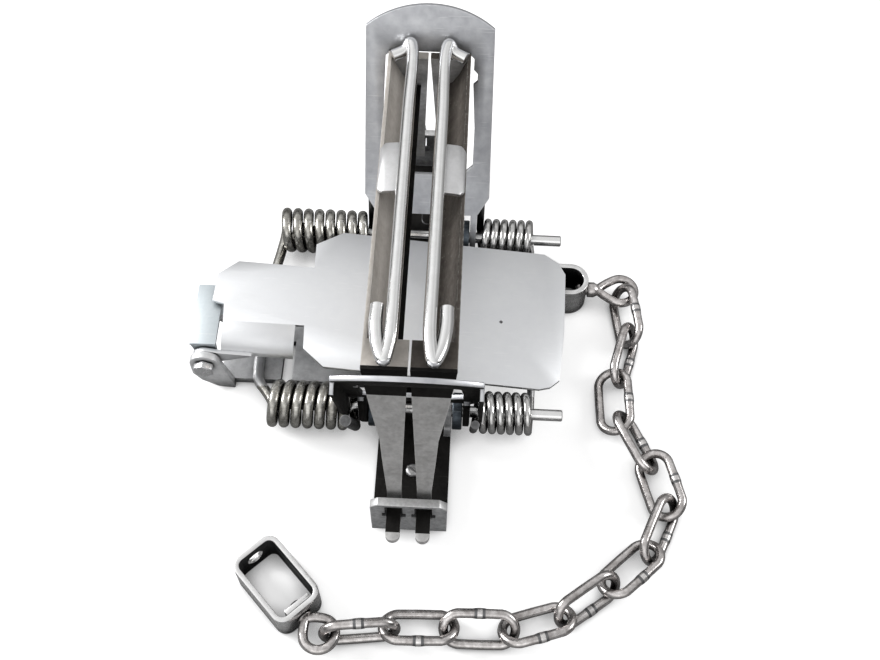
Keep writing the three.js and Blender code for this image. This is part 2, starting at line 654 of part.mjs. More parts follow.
function panBody() {
  const edgeShares = [
    [0.0045, -0.1436], [0.037, -0.1796], [0.0421, -0.4116], [0.2656, -0.3923], [0.2701, -0.7044],
    [0.3295, -0.9282], [0.9234, -1], [0.9547, -0.9613], [0.9808, -0.8564], [0.9949, -0.221],
    [1, 0.6492], [0.9802, 0.8149], [0.9387, 0.9282], [0.3487, 0.9945], [0.2733, 0.7873],
    [0.2746, 0.442], [0.06, 0.442], [0.0077, 0.2376],
  ];
  const plate = flat(outline(edgeShares.map(([x, y]) => [pan.reach * x, pan.half * y])), panLow, panTop);
  const sweepTurn = THREE.MathUtils.degToRad(pan.rollSweep);
  const rollSteps = 8;
  const rollLine = Array.from({ length: rollSteps + 1 }, (_, i) => {
    const turn = (sweepTurn * i) / rollSteps;
    const drop = (pan.rollRadius - pan.plate) * (1 - Math.cos(turn));
    return [-pan.rollNear - (pan.rollRadius - pan.plate) * Math.sin(turn), panLow - drop];
  });
  rollLine.unshift([pan.plate - pan.rollNear, panLow]);
  const roll = sideways(strip(rollLine.reverse(), pan.plate), pan.rollStart, pan.rollEnd);
  const ear = new THREE.Shape();
  ear.absarc(0, 0, pan.earRadius, Math.PI / 2, Math.PI * 1.8, false);
  ear.lineTo(pan.webEnd, pan.earRise - pan.plate / 2);
  ear.lineTo(pan.webEnd, pan.earRise);
  ear.lineTo(pan.rollStart, pan.earRise);
  const nearEar = upright(ear, -earOuter, pan.ear - earOuter);
  const farShape = new THREE.Shape();
  farShape.absarc(0, 0, pan.earRadius, Math.PI / 2, Math.PI * 2, false);
  farShape.lineTo(pan.rollEnd - pan.rollStart, panLow);
  farShape.lineTo(pan.rollEnd - pan.rollStart, panTop);
  farShape.lineTo(pan.rollStart, panTop);
  farShape.lineTo(pan.rollStart, pan.earRadius / 2);
  const farEar = upright(farShape, pan.farEar - pan.ear, pan.farEar);
  return carve(
    join(plate, roll, nearEar, farEar),
    barY(holeRadius(bolt.radius), bolt.nearEar, -bolt.nearEar, 0, 0),
  );
}

// Latch plate that hangs on the same bolt under the pan's tab
function dogBody() {
  const low = dog.top - dog.plate;
  const near = earOuter - pan.ear - gap * 2;
  const plate = flat(rectangle(-dog.left, -near, dog.right, dog.far), low, dog.top);
  const shape = new THREE.Shape();
  shape.absarc(0, 0, dog.cheekRadius, Math.PI, Math.PI * 2, false);
  shape.lineTo(dog.right, dog.top);
  shape.lineTo(-dog.left, dog.top);
  const cheeks = [-near, -dog.farCheek - dog.cheek].map((y) => upright(shape, y, y + dog.cheek, 8));
  return carve(join(plate, ...cheeks), barY(holeRadius(bolt.radius), bolt.nearEar, -bolt.nearEar, 0, 0));
}

function triggerBolt() {
  const tail = bolt.farEar + bolt.earThick + gap;
  const face = bolt.nearEar - gap;
  return join(
    barY(bolt.radius, face - bolt.headLength / 2, tail + bolt.tailLength / 2, boltX, bolt.z),
    barY(bolt.headRadius, face - bolt.headLength, face, boltX, bolt.z, 6),
    barY(bolt.tailRadius, tail, tail + bolt.tailLength, boltX, bolt.z),
  );
}

// Strap that ties the first swivel to the cross arm
function swivelStrap() {
  const half = strap.width / 2;
  const inner = half - strap.thick;
  const start = strap.pinX - strap.end;
  const bend = strap.reach - half;
  const plan = new THREE.Shape();
  plan.moveTo(start, -half);
  plan.lineTo(bend, -half);
  plan.absarc(bend, 0, half, -Math.PI / 2, Math.PI / 2, false);
  plan.lineTo(start, half);
  plan.lineTo(start, inner);
  plan.lineTo(bend, inner);
  plan.absarc(bend, 0, inner, Math.PI / 2, -Math.PI / 2, true);
  plan.lineTo(start, -inner);
  const stemZ = strap.low + strap.height / 2;
  return carve(
    flat(plan, strap.low, strap.low + strap.height, 10).translate(0, strap.y, 0),
    barX(holeRadius(eye.stem), bend, strap.reach + overrun, strap.y, stemZ),
    barY(holeRadius(strap.pinRadius), strap.y - strap.width, strap.y + strap.width, strap.pinX, strap.pinZ),
  );
}

function strapPin() {
  const end = strap.width / 2 + 2 * gap;
  const head = strap.thick / 2;
  return join(
    barY(strap.pinRadius, strap.y - end - head, strap.y + end + head, strap.pinX, strap.pinZ),
    barY(strap.pinRadius * 1.7, strap.y - end - head, strap.y - end, strap.pinX, strap.pinZ),
    barY(strap.pinRadius * 1.7, strap.y + end, strap.y + end + head, strap.pinX, strap.pinZ),
  );
}

// Swivel eye along X: a ring drawn towards its stem, and a riveted head. The wall's outer face is at zero
function swivelEye(wall, neck) {
  const steps = 16;
  const { drawShare, pinchShare, collarShare, collarEndShare, crownShare, riseShare } = eye;
  const draw = neck * drawShare;
  const centre = neck + eye.radius;
  const ring = sweep(Array.from({ length: steps }, (_, i) => {
    const turn = (2 * Math.PI * i) / steps;
    const drawn = Math.max(0, -Math.cos(turn)) ** 2;
    const x = centre + eye.radius * Math.cos(turn) - draw * drawn;
    return new THREE.Vector3(x, eye.radius * Math.sin(turn) * (1 - pinchShare * drawn), 0);
  }), eye.wire / 2, 8, true);
  const collar = eye.stem * collarShare;
  const end = neck - draw;
  const seat = -wall - gap;
  const stem = turned([
    [0, seat - eye.headHeight], [eye.headRadius * crownShare, seat - eye.headHeight * riseShare],
    [eye.headRadius, seat], [eye.stem, seat], [eye.stem, gap], [collar, gap],
    [collar, end * collarEndShare], [eye.stem, end], [0, end],
  ]).rotateZ(-Math.PI / 2);
  return join(ring, stem);
}

// Chain link: a stadium of round wire with its weld on one long side
function chainLink(weldSide) {
  const radius = (link.innerWidth + link.wire) / 2;
  const straight = (link.inner - link.innerWidth) / 2;
  const points = [];
  const radii = [];
  const add = (x, y, r) => {
    points.push(new THREE.Vector3(x, y, 0));
    radii.push(r);
  };
  [1, -1].forEach((end) => {
    for (let i = 0; i <= link.arcSteps; i += 1) {
      const turn = (end > 0 ? -Math.PI / 2 : Math.PI / 2) + (Math.PI * i) / link.arcSteps;
      add(end * straight + radius * Math.cos(turn), radius * Math.sin(turn), link.wire / 2);
    }
    if (end === weldSide) {
      const fat = link.wire / 2 + link.collar;
      const ramp = link.collarHalf + link.collar;
      add(end * ramp, end * radius, link.wire / 2);
      add(end * link.collarHalf, end * radius, fat);
      add(-end * link.collarHalf, end * radius, fat);
      add(-end * ramp, end * radius, link.wire / 2);
    }
  });
  return sweep(points, radii, link.sides, true);
}

// Chain as it lies on the floor: the middle of each link, its heading and its roll about its own length
const linkPlaceShares = [
  { x: 0.934, y: 0.102, yaw: -82, roll: 58 }, { x: 0.918, y: -0.107, yaw: -105, roll: -62 },
  { x: 0.868, y: -0.332, yaw: -88, roll: 25 }, { x: 0.953, y: -0.53, yaw: -64, roll: -50 },
  { x: 1.053, y: -0.719, yaw: -74, roll: 25 }, { x: 1.037, y: -0.923, yaw: -113, roll: -54 },
  { x: 0.914, y: -1.093, yaw: -137, roll: 26 }, { x: 0.732, y: -1.236, yaw: -143, roll: -61 },
  { x: 0.533, y: -1.342, yaw: -162, roll: 27 }, { x: 0.303, y: -1.371, yaw: -179, roll: -43 },
  { x: 0.063, y: -1.375, yaw: -178, roll: 26 }, { x: -0.169, y: -1.407, yaw: -173, roll: -81 },
];
const endRingShare = [-0.33, -1.422];
const flatHeightShare = 1.66;

function addChain() {
  const radius = (link.innerWidth + link.wire) / 2;
  linkPlaceShares.forEach(({ x, y, yaw, roll }, i) => {
    const lean = THREE.MathUtils.degToRad(roll);
    const resting = link.floor + link.wire / 2 + radius * Math.abs(Math.sin(lean));
    const number = String(i + 1).padStart(2, "0");
    const mesh = piece(`chain_link_${number}`, chainLink(Math.sign(roll)), finish.chain);
    mesh.rotation.order = "ZYX";
    mesh.rotation.z = THREE.MathUtils.degToRad(yaw);
    mesh.rotation.x = lean;
    mesh.position.set(x * chainRun, y * chainRun, Math.max(resting, link.wire * flatHeightShare));
  });
}

// End swivel: a closed box of bent strip with lapped ends at the swivel
function endBox() {
  const outer = roundedBox(box.length / 2, box.width / 2, box.corner);
  const inner = roundedBox(box.length / 2 - box.thick, box.width / 2 - box.thick, box.corner - box.thick);
  const pierced = outer.clone();
  pierced.holes.push(new THREE.Path(inner.getPoints(4)));
  const lapHalf = box.width / 2 - box.corner;
  const front = box.length / 2;
  const lapPlan = rectangle(front - box.thick - box.lap, -lapHalf, front - box.thick / 2, lapHalf);
  const lap = flat(lapPlan, 0, box.height);
  return carve(
    join(flat(pierced, 0, box.height, 4), lap),
    barX(holeRadius(eye.stem), front - box.width / 2, front + overrun, 0, box.height / 2),
    barX(box.hole, -front - overrun, -box.width / 2, 0, box.height / 2),
  );
}

function addEndSwivel() {
  const turn = THREE.MathUtils.degToRad(box.heading);
  const stemZ = box.low + box.height / 2;
  const toWall = box.neck + eye.radius;
  const [ringX, ringY] = endRingShare.map((share) => share * chainRun);
  const wallX = ringX + toWall * Math.cos(turn);
  const wallY = ringY + toWall * Math.sin(turn);
  const middle = box.length / 2;
  const eyeMesh = piece("swivel_eye_end", swivelEye(box.thick + box.lap, box.neck), finish.chain);
  eyeMesh.position.set(wallX, wallY, stemZ);
  eyeMesh.rotation.z = turn + Math.PI;
  const boxMesh = piece("end_box", endBox(), finish.box);
  boxMesh.position.set(wallX + middle * Math.cos(turn), wallY + middle * Math.sin(turn), box.low);
  boxMesh.rotation.z = turn + Math.PI;
}

// Assembly
piece("cross_arm", crossArm(), finish.arm);
piece("base_frame", baseFrame(), finish.base);
piece("arm_rivet_near", armRivet(-rivet.y / 2), finish.rivet);
piece("arm_rivet_far", armRivet(rivet.y / 2), finish.rivet);
piece("base_screw", baseScrew(), finish.rivet);
[["near", -1, lever.raisedNear], ["far", 1, lever.raisedFar]].forEach(([end, side, raised]) => {
  piece(`spring_rod_${end}`, springRod(side), finish.polished);
  piece(`bush_${end}_left`, leverBush(-1, side), finish.bush);
  piece(`bush_${end}_right`, leverBush(1, side), finish.bush);
  addLever(`lever_${end}`, side, raised);
});
piece("main_spring", torsionSpring("main spring", mainSpring, -1), finish.mainSpring);
piece("side_spring", torsionSpring("side spring", sideSpring, 1), finish.sideSpring);

const jawTurn = new THREE.Group();
jawTurn.rotation.z = Math.PI;
trap.add(jawTurn);
piece("jaw_right", jawBody(-1), finish.jaw);
piece("jaw_left", jawBody(1), finish.jaw, jawTurn);
[["left", -1], ["right", 1]].forEach(([name, side]) => {
  piece(`jaw_rod_${name}`, jawRodBody(side), finish.polished);
  piece(`jaw_clip_${name}`, jawClip(side), finish.polished);
});

const boltAxis = new THREE.Group();
boltAxis.position.set(boltX, 0, bolt.z);
trap.add(boltAxis);
const panTilt = new THREE.Group();
panTilt.rotation.y = THREE.MathUtils.degToRad(pan.tilt);
boltAxis.add(panTilt);
piece("pan", panBody(), finish.pan, panTilt);
piece("dog", dogBody(), finish.dog, boltAxis);
piece("trigger_bolt", triggerBolt(), finish.bolt);

piece("swivel_strap", swivelStrap(), finish.box);
piece("strap_pin", strapPin(), finish.rivet);
const firstEye = piece("swivel_eye_trap", swivelEye(strap.thick + strap.seat, eye.neck), finish.chain);
firstEye.position.set(strap.reach, strap.y, strap.low + strap.height / 2);
addChain();
addEndSwivel();

export default trap;
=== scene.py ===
import math

import bmesh
import bpy
from bpy.props import FloatProperty, FloatVectorProperty, PointerProperty
from mathutils import Matrix, Vector


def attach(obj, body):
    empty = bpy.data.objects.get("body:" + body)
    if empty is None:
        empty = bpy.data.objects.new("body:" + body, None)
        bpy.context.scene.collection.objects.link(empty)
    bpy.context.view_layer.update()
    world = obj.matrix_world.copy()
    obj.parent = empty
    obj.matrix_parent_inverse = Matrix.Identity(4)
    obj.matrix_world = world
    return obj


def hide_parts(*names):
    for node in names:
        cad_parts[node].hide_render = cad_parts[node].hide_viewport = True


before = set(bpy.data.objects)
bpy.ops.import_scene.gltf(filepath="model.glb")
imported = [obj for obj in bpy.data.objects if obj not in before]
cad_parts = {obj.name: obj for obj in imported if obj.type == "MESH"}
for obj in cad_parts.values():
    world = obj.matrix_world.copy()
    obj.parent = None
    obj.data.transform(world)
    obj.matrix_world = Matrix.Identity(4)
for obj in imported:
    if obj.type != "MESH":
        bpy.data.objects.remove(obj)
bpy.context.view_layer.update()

bl_info = {
    "name": "Coil spring trap",
    "version": (1, 0, 0),
    "blender": (4, 5, 0),
    "location": "View3D > Sidebar > Trap",
    "description": "Dresses the packed coil spring trap with wire, sheet steel and chain, and sets its stage",
    "category": "Object",
}

MM = 0.001

# Heights and places shared with the solids, in millimetres
ROD_Z = 14.8
ROD_Y = 45.4
ROD_RADIUS = 2.5
BUSH_X = {"left": -20.0, "right": 15.8}
RIVET_Y = 12.5
SCREW_Y = -71
ARM_OUTER = 23.0
GAP = 0.3
MAIN_COIL = 8.2
LEG_REACH = 48
BRIDGE_Y = 34
BOLT = Vector((-92.5, -35.1, 20.5))
DIMPLE = (35.56, -4.24, 22.18)
DIMPLE_RADIUS = 0.8
STRAP = (60, 23, 7.5)
TRAP_EYE = (75.4, 23, 9)
TRAP_NECK = 8.9
STRIP = 2.2
EYE_RADIUS = 6.6
EYE_WIRE = 2.1
END_EYE = (-33, -142.2)
END_EYE_Z = 8.55
END_NECK = 2.6
END_TURN = 134
BOX = (34, 21.4, 16.5)
BOX_CORNER = 5
LINK_LENGTH = 24.7
LINK_WIDTH = 9.6
LINK_FLOOR = 0.3
LINK_FLAT = 1.66
# How far each lever stands up, in degrees
RAISED = {"near": 66.9, "far": 68.75}
# Wire left thinner than in the solids, so that round wires clear each other when they swing
SLACK = 0.12
STEPS_PER_TURN = 36
# Camera: place in millimetres, then heading, tilt down and roll in degrees, read off the photograph
CAMERA_PLACE = (16.46, -265.93, 464.16)
CAMERA_ANGLES = (-1.72, 59.89, 1.03)


def mm(*values):
    """Millimetres as a vector in metres."""
    return Vector(values) * MM


# Modelling helpers: every piece starts from a primitive or a merged copy and is shaped in edit mode

def only(*pieces):
    """Select these objects alone, in object mode, with the last one active."""
    active = bpy.context.view_layer.objects.active
    if active is not None and active.mode != "OBJECT":
        bpy.ops.object.mode_set(mode="OBJECT")
    bpy.ops.object.select_all(action="DESELECT")
    for piece in pieces:
        piece.select_set(True)
    bpy.context.view_layer.objects.active = pieces[-1] if pieces else None


def named(name):
    """Name the primitive that was just added, with its mesh."""
    piece = bpy.context.view_layer.objects.active
    piece.name = name
    piece.data.name = name
    return piece


def pick(piece, kind, keep):
    """In edit mode, select the vertices, edges or faces that keep() accepts."""
    bpy.ops.mesh.select_mode(type=kind)
    bpy.ops.mesh.select_all(action="DESELECT")
    shape = bmesh.from_edit_mesh(piece.data)
    parts = {"VERT": shape.verts, "EDGE": shape.edges, "FACE": shape.faces}[kind]
    for part in parts:
        if keep(part):
            part.select_set(True)
    shape.select_flush_mode()
    bmesh.update_edit_mesh(piece.data)


def settle(piece):
    """Put the piece's place, turn and size into its mesh."""
    only(piece)
    bpy.ops.object.transform_apply(location=True, rotation=True, scale=True)


def outward(piece, merge=1e-6):
    """Merge doubles and point every face outwards."""
    only(piece)
    bpy.ops.object.mode_set(mode="EDIT")
    bpy.ops.mesh.select_all(action="SELECT")
    bpy.ops.mesh.remove_doubles(threshold=merge)
    bpy.ops.mesh.normals_make_consistent(inside=False)
    bpy.ops.object.mode_set(mode="OBJECT")


def smooth(piece, angle=38):
    """Shade smooth up to this angle in degrees."""
    only(piece)
    bpy.ops.object.shade_smooth_by_angle(angle=math.radians(angle))


def rounded(piece, width, segments=2, angle=32):
    """Round the sheared edges with an applied bevel."""
    only(piece)
    bevel = piece.modifiers.new("Edge", "BEVEL")
    bevel.width = width * MM
    bevel.segments = segments
    bevel.limit_method = "ANGLE"
    bevel.angle_limit = math.radians(angle)
    bevel.use_clamp_overlap = True
    bpy.ops.object.modifier_apply(modifier=bevel.name)
    smooth(piece)


def combined(piece, other, how="UNION"):
    """Weld or cut one piece with another, which goes away."""
    only(piece)
    boolean = piece.modifiers.new("Weld", "BOOLEAN")
    boolean.operation = how
    boolean.solver = "EXACT"
    boolean.object = other
    bpy.ops.object.modifier_apply(modifier=boolean.name)
    bpy.data.objects.remove(other)
    return piece


def merged_copy(node, name):
    """A closed copy of a solid, its flat faces made whole again."""
    piece = bpy.data.objects.new(name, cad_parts[node].data.copy())
    bpy.context.scene.collection.objects.link(piece)
    piece.data.materials.clear()
    only(piece)
    bpy.ops.object.mode_set(mode="EDIT")
    bpy.ops.mesh.select_all(action="SELECT")
    bpy.ops.mesh.remove_doubles(threshold=2e-6)
    bpy.ops.mesh.dissolve_limited(angle_limit=math.radians(0.6))
    bpy.ops.object.mode_set(mode="OBJECT")
    return piece


def turned(name, steps, sides=48):
    """A round piece along Z: a filled circle extruded and scaled from step to step of (radius, height)."""
    only()
    radius, height = steps[0]
    bpy.ops.mesh.primitive_circle_add(vertices=sides, radius=radius * MM, fill_type="NGON",
                                      location=mm(0, 0, height))
    piece = named(name)
    settle(piece)
    bpy.ops.object.mode_set(mode="EDIT")
    bpy.ops.mesh.select_all(action="SELECT")
    for wider, higher in steps[1:]:
        bpy.ops.mesh.extrude_region_move(TRANSFORM_OT_translate={"value": mm(0, 0, higher - height)})
        share = wider / radius
        bpy.ops.transform.resize(value=(share, share, 1), center_override=mm(0, 0, higher))
        radius, height = wider, higher
    bpy.ops.object.mode_set(mode="OBJECT")
    outward(piece)
    return piece


def placed(piece, matrix):
    """Move a piece by a matrix given in millimetres."""
    piece.matrix_world = matrix
    settle(piece)
    return piece


def wire(name, points, radius, rings=6, closed=False):
    """Round wire drawn through points, then made a mesh with closed ends or as a closed ring."""
    curve = bpy.data.curves.new(name, "CURVE")
    curve.dimensions = "3D"
    curve.bevel_depth = radius * MM
    curve.bevel_resolution = rings
    curve.use_fill_caps = True
    spline = curve.splines.new("POLY")
    spline.points.add(len(points) - 1)
    spline.use_cyclic_u = closed
    for point, place in zip(spline.points, points):
        point.co = (*(Vector(place) * MM), 1)
    piece = bpy.data.objects.new(name, curve)
    bpy.context.scene.collection.objects.link(piece)
    only(piece)
    bpy.ops.object.convert(target="MESH")
    piece = bpy.context.view_layer.objects.active
    outward(piece)
    return piece


def along(points, steps):
    """Points on a smooth centripetal curve through the given ones."""
    ends = [2 * points[0] - points[1], *points, 2 * points[-1] - points[-2]]
    line = []
    for a, b, c, d in zip(ends, ends[1:], ends[2:], ends[3:]):
        t1 = max((b - a).length, 1e-6) ** 0.5
        t2 = t1 + max((c - b).length, 1e-6) ** 0.5
        t3 = t2 + max((d - c).length, 1e-6) ** 0.5
        for i in range(steps):
            t = t1 + (t2 - t1) * i / steps
            ab, bc, cd = a.lerp(b, t / t1), b.lerp(c, (t - t1) / (t2 - t1)), c.lerp(d, (t - t2) / (t3 - t2))
            abc, bcd = ab.lerp(bc, t / t2), bc.lerp(cd, (t - t1) / (t3 - t1))
            line.append(abc.lerp(bcd, (t - t1) / (t2 - t1)))
    line.append(points[-1])
    return line


def paint(piece, finish, keep):
    """Give the faces that keep() accepts another steel."""
    piece.data.materials.append(steel(finish))
    only(piece)
    bpy.ops.object.mode_set(mode="EDIT")
    pick(piece, "FACE", keep)
    piece.active_material_index = len(piece.data.materials) - 1
    bpy.ops.object.material_slot_assign()
    bpy.ops.object.mode_set(mode="OBJECT")


def done(piece, body, slot, finish, *nodes):
    """Give a finished piece its steel, its body and the solids that it stands for; slot is not used."""
    if not piece.data.materials:
        piece.data.materials.append(steel(finish))
    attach(piece, body)
    if nodes:
        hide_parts(*nodes)
    return piece


# Finishes

def group(name, output, **inputs):
    """A new shader node group with a vector and named inputs, as (tree, input node, output node)."""
    tree = bpy.data.node_groups.new(name, "ShaderNodeTree")
    tree.interface.new_socket(name="Vector", in_out="INPUT", socket_type="NodeSocketVector")
    for socket, default in inputs.items():
        kind = "NodeSocketVector" if isinstance(default, tuple) else "NodeSocketFloat"
        made = tree.interface.new_socket(name=socket, in_out="INPUT", socket_type=kind)
        made.default_value = default
    tree.interface.new_socket(name=output, in_out="OUTPUT", socket_type="NodeSocketFloat")
    return tree, tree.nodes.new("NodeGroupInput"), tree.nodes.new("NodeGroupOutput")


def node(tree, kind, settings=None, values=None):
    """Add a node, set its fields and its unlinked sockets."""
    made = tree.nodes.new(kind)
    for field, value in (settings or {}).items():
        setattr(made, field, value)
    for socket, value in (values or {}).items():
        made.inputs[socket].default_value = value
    return made


def joined(tree, *rows):
    """Link nodes, each row as (from, output, to, input)."""
    for source, output, target, socket in rows:
        tree.links.new(source.outputs[output], target.inputs[socket])


def mottle_group():
    """Cloudy patches in two sizes, as on zinc and scaled steel."""
    tree, start, end = group("Mottle", "Mask", Scale=120.0, Contrast=1.0)
    broad = node(tree, "ShaderNodeTexNoise", values={"Detail": 5.0, "Roughness": 0.6})
    fine = node(tree, "ShaderNodeTexNoise", values={"Detail": 3.0, "Roughness": 0.55})
    larger = node(tree, "ShaderNodeMath", {"operation": "MULTIPLY"}, {1: 4.3})
    both = node(tree, "ShaderNodeMath", {"operation": "ADD"})
    centred = node(tree, "ShaderNodeMath", {"operation": "SUBTRACT"}, {1: 1.0})
    spread = node(tree, "ShaderNodeMath", {"operation": "MULTIPLY"})
    lifted = node(tree, "ShaderNodeMath", {"operation": "ADD", "use_clamp": True}, {1: 0.5})
    joined(tree, (start, "Vector", broad, "Vector"), (start, "Vector", fine, "Vector"),
           (start, "Scale", broad, "Scale"), (start, "Scale", larger, 0), (larger, 0, fine, "Scale"),
           (broad, "Fac", both, 0), (fine, "Fac", both, 1), (both, 0, centred, 0), (centred, 0, spread, 0),
           (start, "Contrast", spread, 1), (spread, 0, lifted, 0), (lifted, 0, end, "Mask"))
    return tree


def grain_group():
    """Fine drawn lines along one direction, given by how the coordinates are stretched."""
    tree, start, end = group("Drawn grain", "Lines", Scale=400.0, Stretch=(1, 1, 1))
    shape = node(tree, "ShaderNodeVectorMath", {"operation": "MULTIPLY"})
    lines = node(tree, "ShaderNodeTexNoise", values={"Detail": 4.0, "Roughness": 0.65})
    joined(tree, (start, "Vector", shape, 0), (start, "Stretch", shape, 1), (shape, 0, lines, "Vector"),
           (start, "Scale", lines, "Scale"), (lines, "Fac", end, "Lines"))
    return tree


def wear_group():
    """Edges rubbed bright: where the rounded normal leaves the true one, broken up by a noise."""
    tree, start, end = group("Edge wear", "Mask", Width=0.0008, Amount=1.0)
    soft = node(tree, "ShaderNodeBevel", {"samples": 6})
    true = node(tree, "ShaderNodeNewGeometry")
    dot = node(tree, "ShaderNodeVectorMath", {"operation": "DOT_PRODUCT"})
    ramp = node(tree, "ShaderNodeMapRange", values={"From Min": 0.995, "From Max": 0.86})
    breaks = node(tree, "ShaderNodeTexNoise", values={"Scale": 420.0, "Detail": 3.0})
    broken = node(tree, "ShaderNodeMapRange", values={"From Min": 0.35, "From Max": 0.6})
    amount = node(tree, "ShaderNodeMath", {"operation": "MULTIPLY"})
    both = node(tree, "ShaderNodeMath", {"operation": "MULTIPLY", "use_clamp": True})
    joined(tree, (start, "Width", soft, "Radius"), (soft, 0, dot, 0), (true, "Normal", dot, 1),
           (dot, "Value", ramp, "Value"), (start, "Vector", breaks, "Vector"),
           (breaks, "Fac", broken, "Value"), (broken, "Result", amount, 0), (start, "Amount", amount, 1),
           (ramp, "Result", both, 0), (amount, 0, both, 1), (both, 0, end, "Mask"))
    return tree


def scratch_group():
    """Sparse thin scratches in crossing directions."""
    tree, start, end = group("Scratches", "Mask", Scale=60.0, Amount=1.0)
    sums = node(tree, "ShaderNodeMath", {"operation": "MAXIMUM"})
    for i, turn in enumerate((0.35, -0.8)):
        turned_by = node(tree, "ShaderNodeMapping",
                         values={"Rotation": (turn, turn * 0.6, turn), "Scale": (1.0, 14.0, 14.0)})
        lines = node(tree, "ShaderNodeTexNoise", values={"Detail": 1.0, "Roughness": 0.4, "Distortion": 0.15})
        thin = node(tree, "ShaderNodeMapRange", values={"From Min": 0.7, "From Max": 0.76})
        joined(tree, (start, "Vector", turned_by, "Vector"), (turned_by, 0, lines, "Vector"),
               (start, "Scale", lines, "Scale"), (lines, "Fac", thin, "Value"), (thin, "Result", sums, i))
    amount = node(tree, "ShaderNodeMath", {"operation": "MULTIPLY", "use_clamp": True})
    joined(tree, (sums, 0, amount, 0), (start, "Amount", amount, 1), (amount, 0, end, "Mask"))
    return tree


def corner_shade_group():
    """Painted shade in the hidden corners, from ambient occlusion, broken up by a noise."""
    tree, start, end = group("Corner shade", "Mask", Reach=0.02, Amount=1.0)
    hidden = node(tree, "ShaderNodeAmbientOcclusion", {"samples": 8})
    depth = node(tree, "ShaderNodeMapRange", values={"From Min": 0.8, "From Max": 0.3})
    breaks = node(tree, "ShaderNodeTexNoise", values={"Scale": 160.0, "Detail": 4.0})
    broken = node(tree, "ShaderNodeMapRange", values={"From Min": 0.3, "From Max": 0.6, "To Min": 0.7})
    amount = node(tree, "ShaderNodeMath", {"operation": "MULTIPLY"})
    both = node(tree, "ShaderNodeMath", {"operation": "MULTIPLY", "use_clamp": True})
    joined(tree, (start, "Reach", hidden, "Distance"), (hidden, "AO", depth, "Value"),
           (start, "Vector", breaks, "Vector"), (breaks, "Fac", broken, "Value"),
           (broken, "Result", amount, 0), (start, "Amount", amount, 1), (depth, "Result", both, 0),
           (amount, 0, both, 1), (both, 0, end, "Mask"))
    return tree


GROUPS = {}
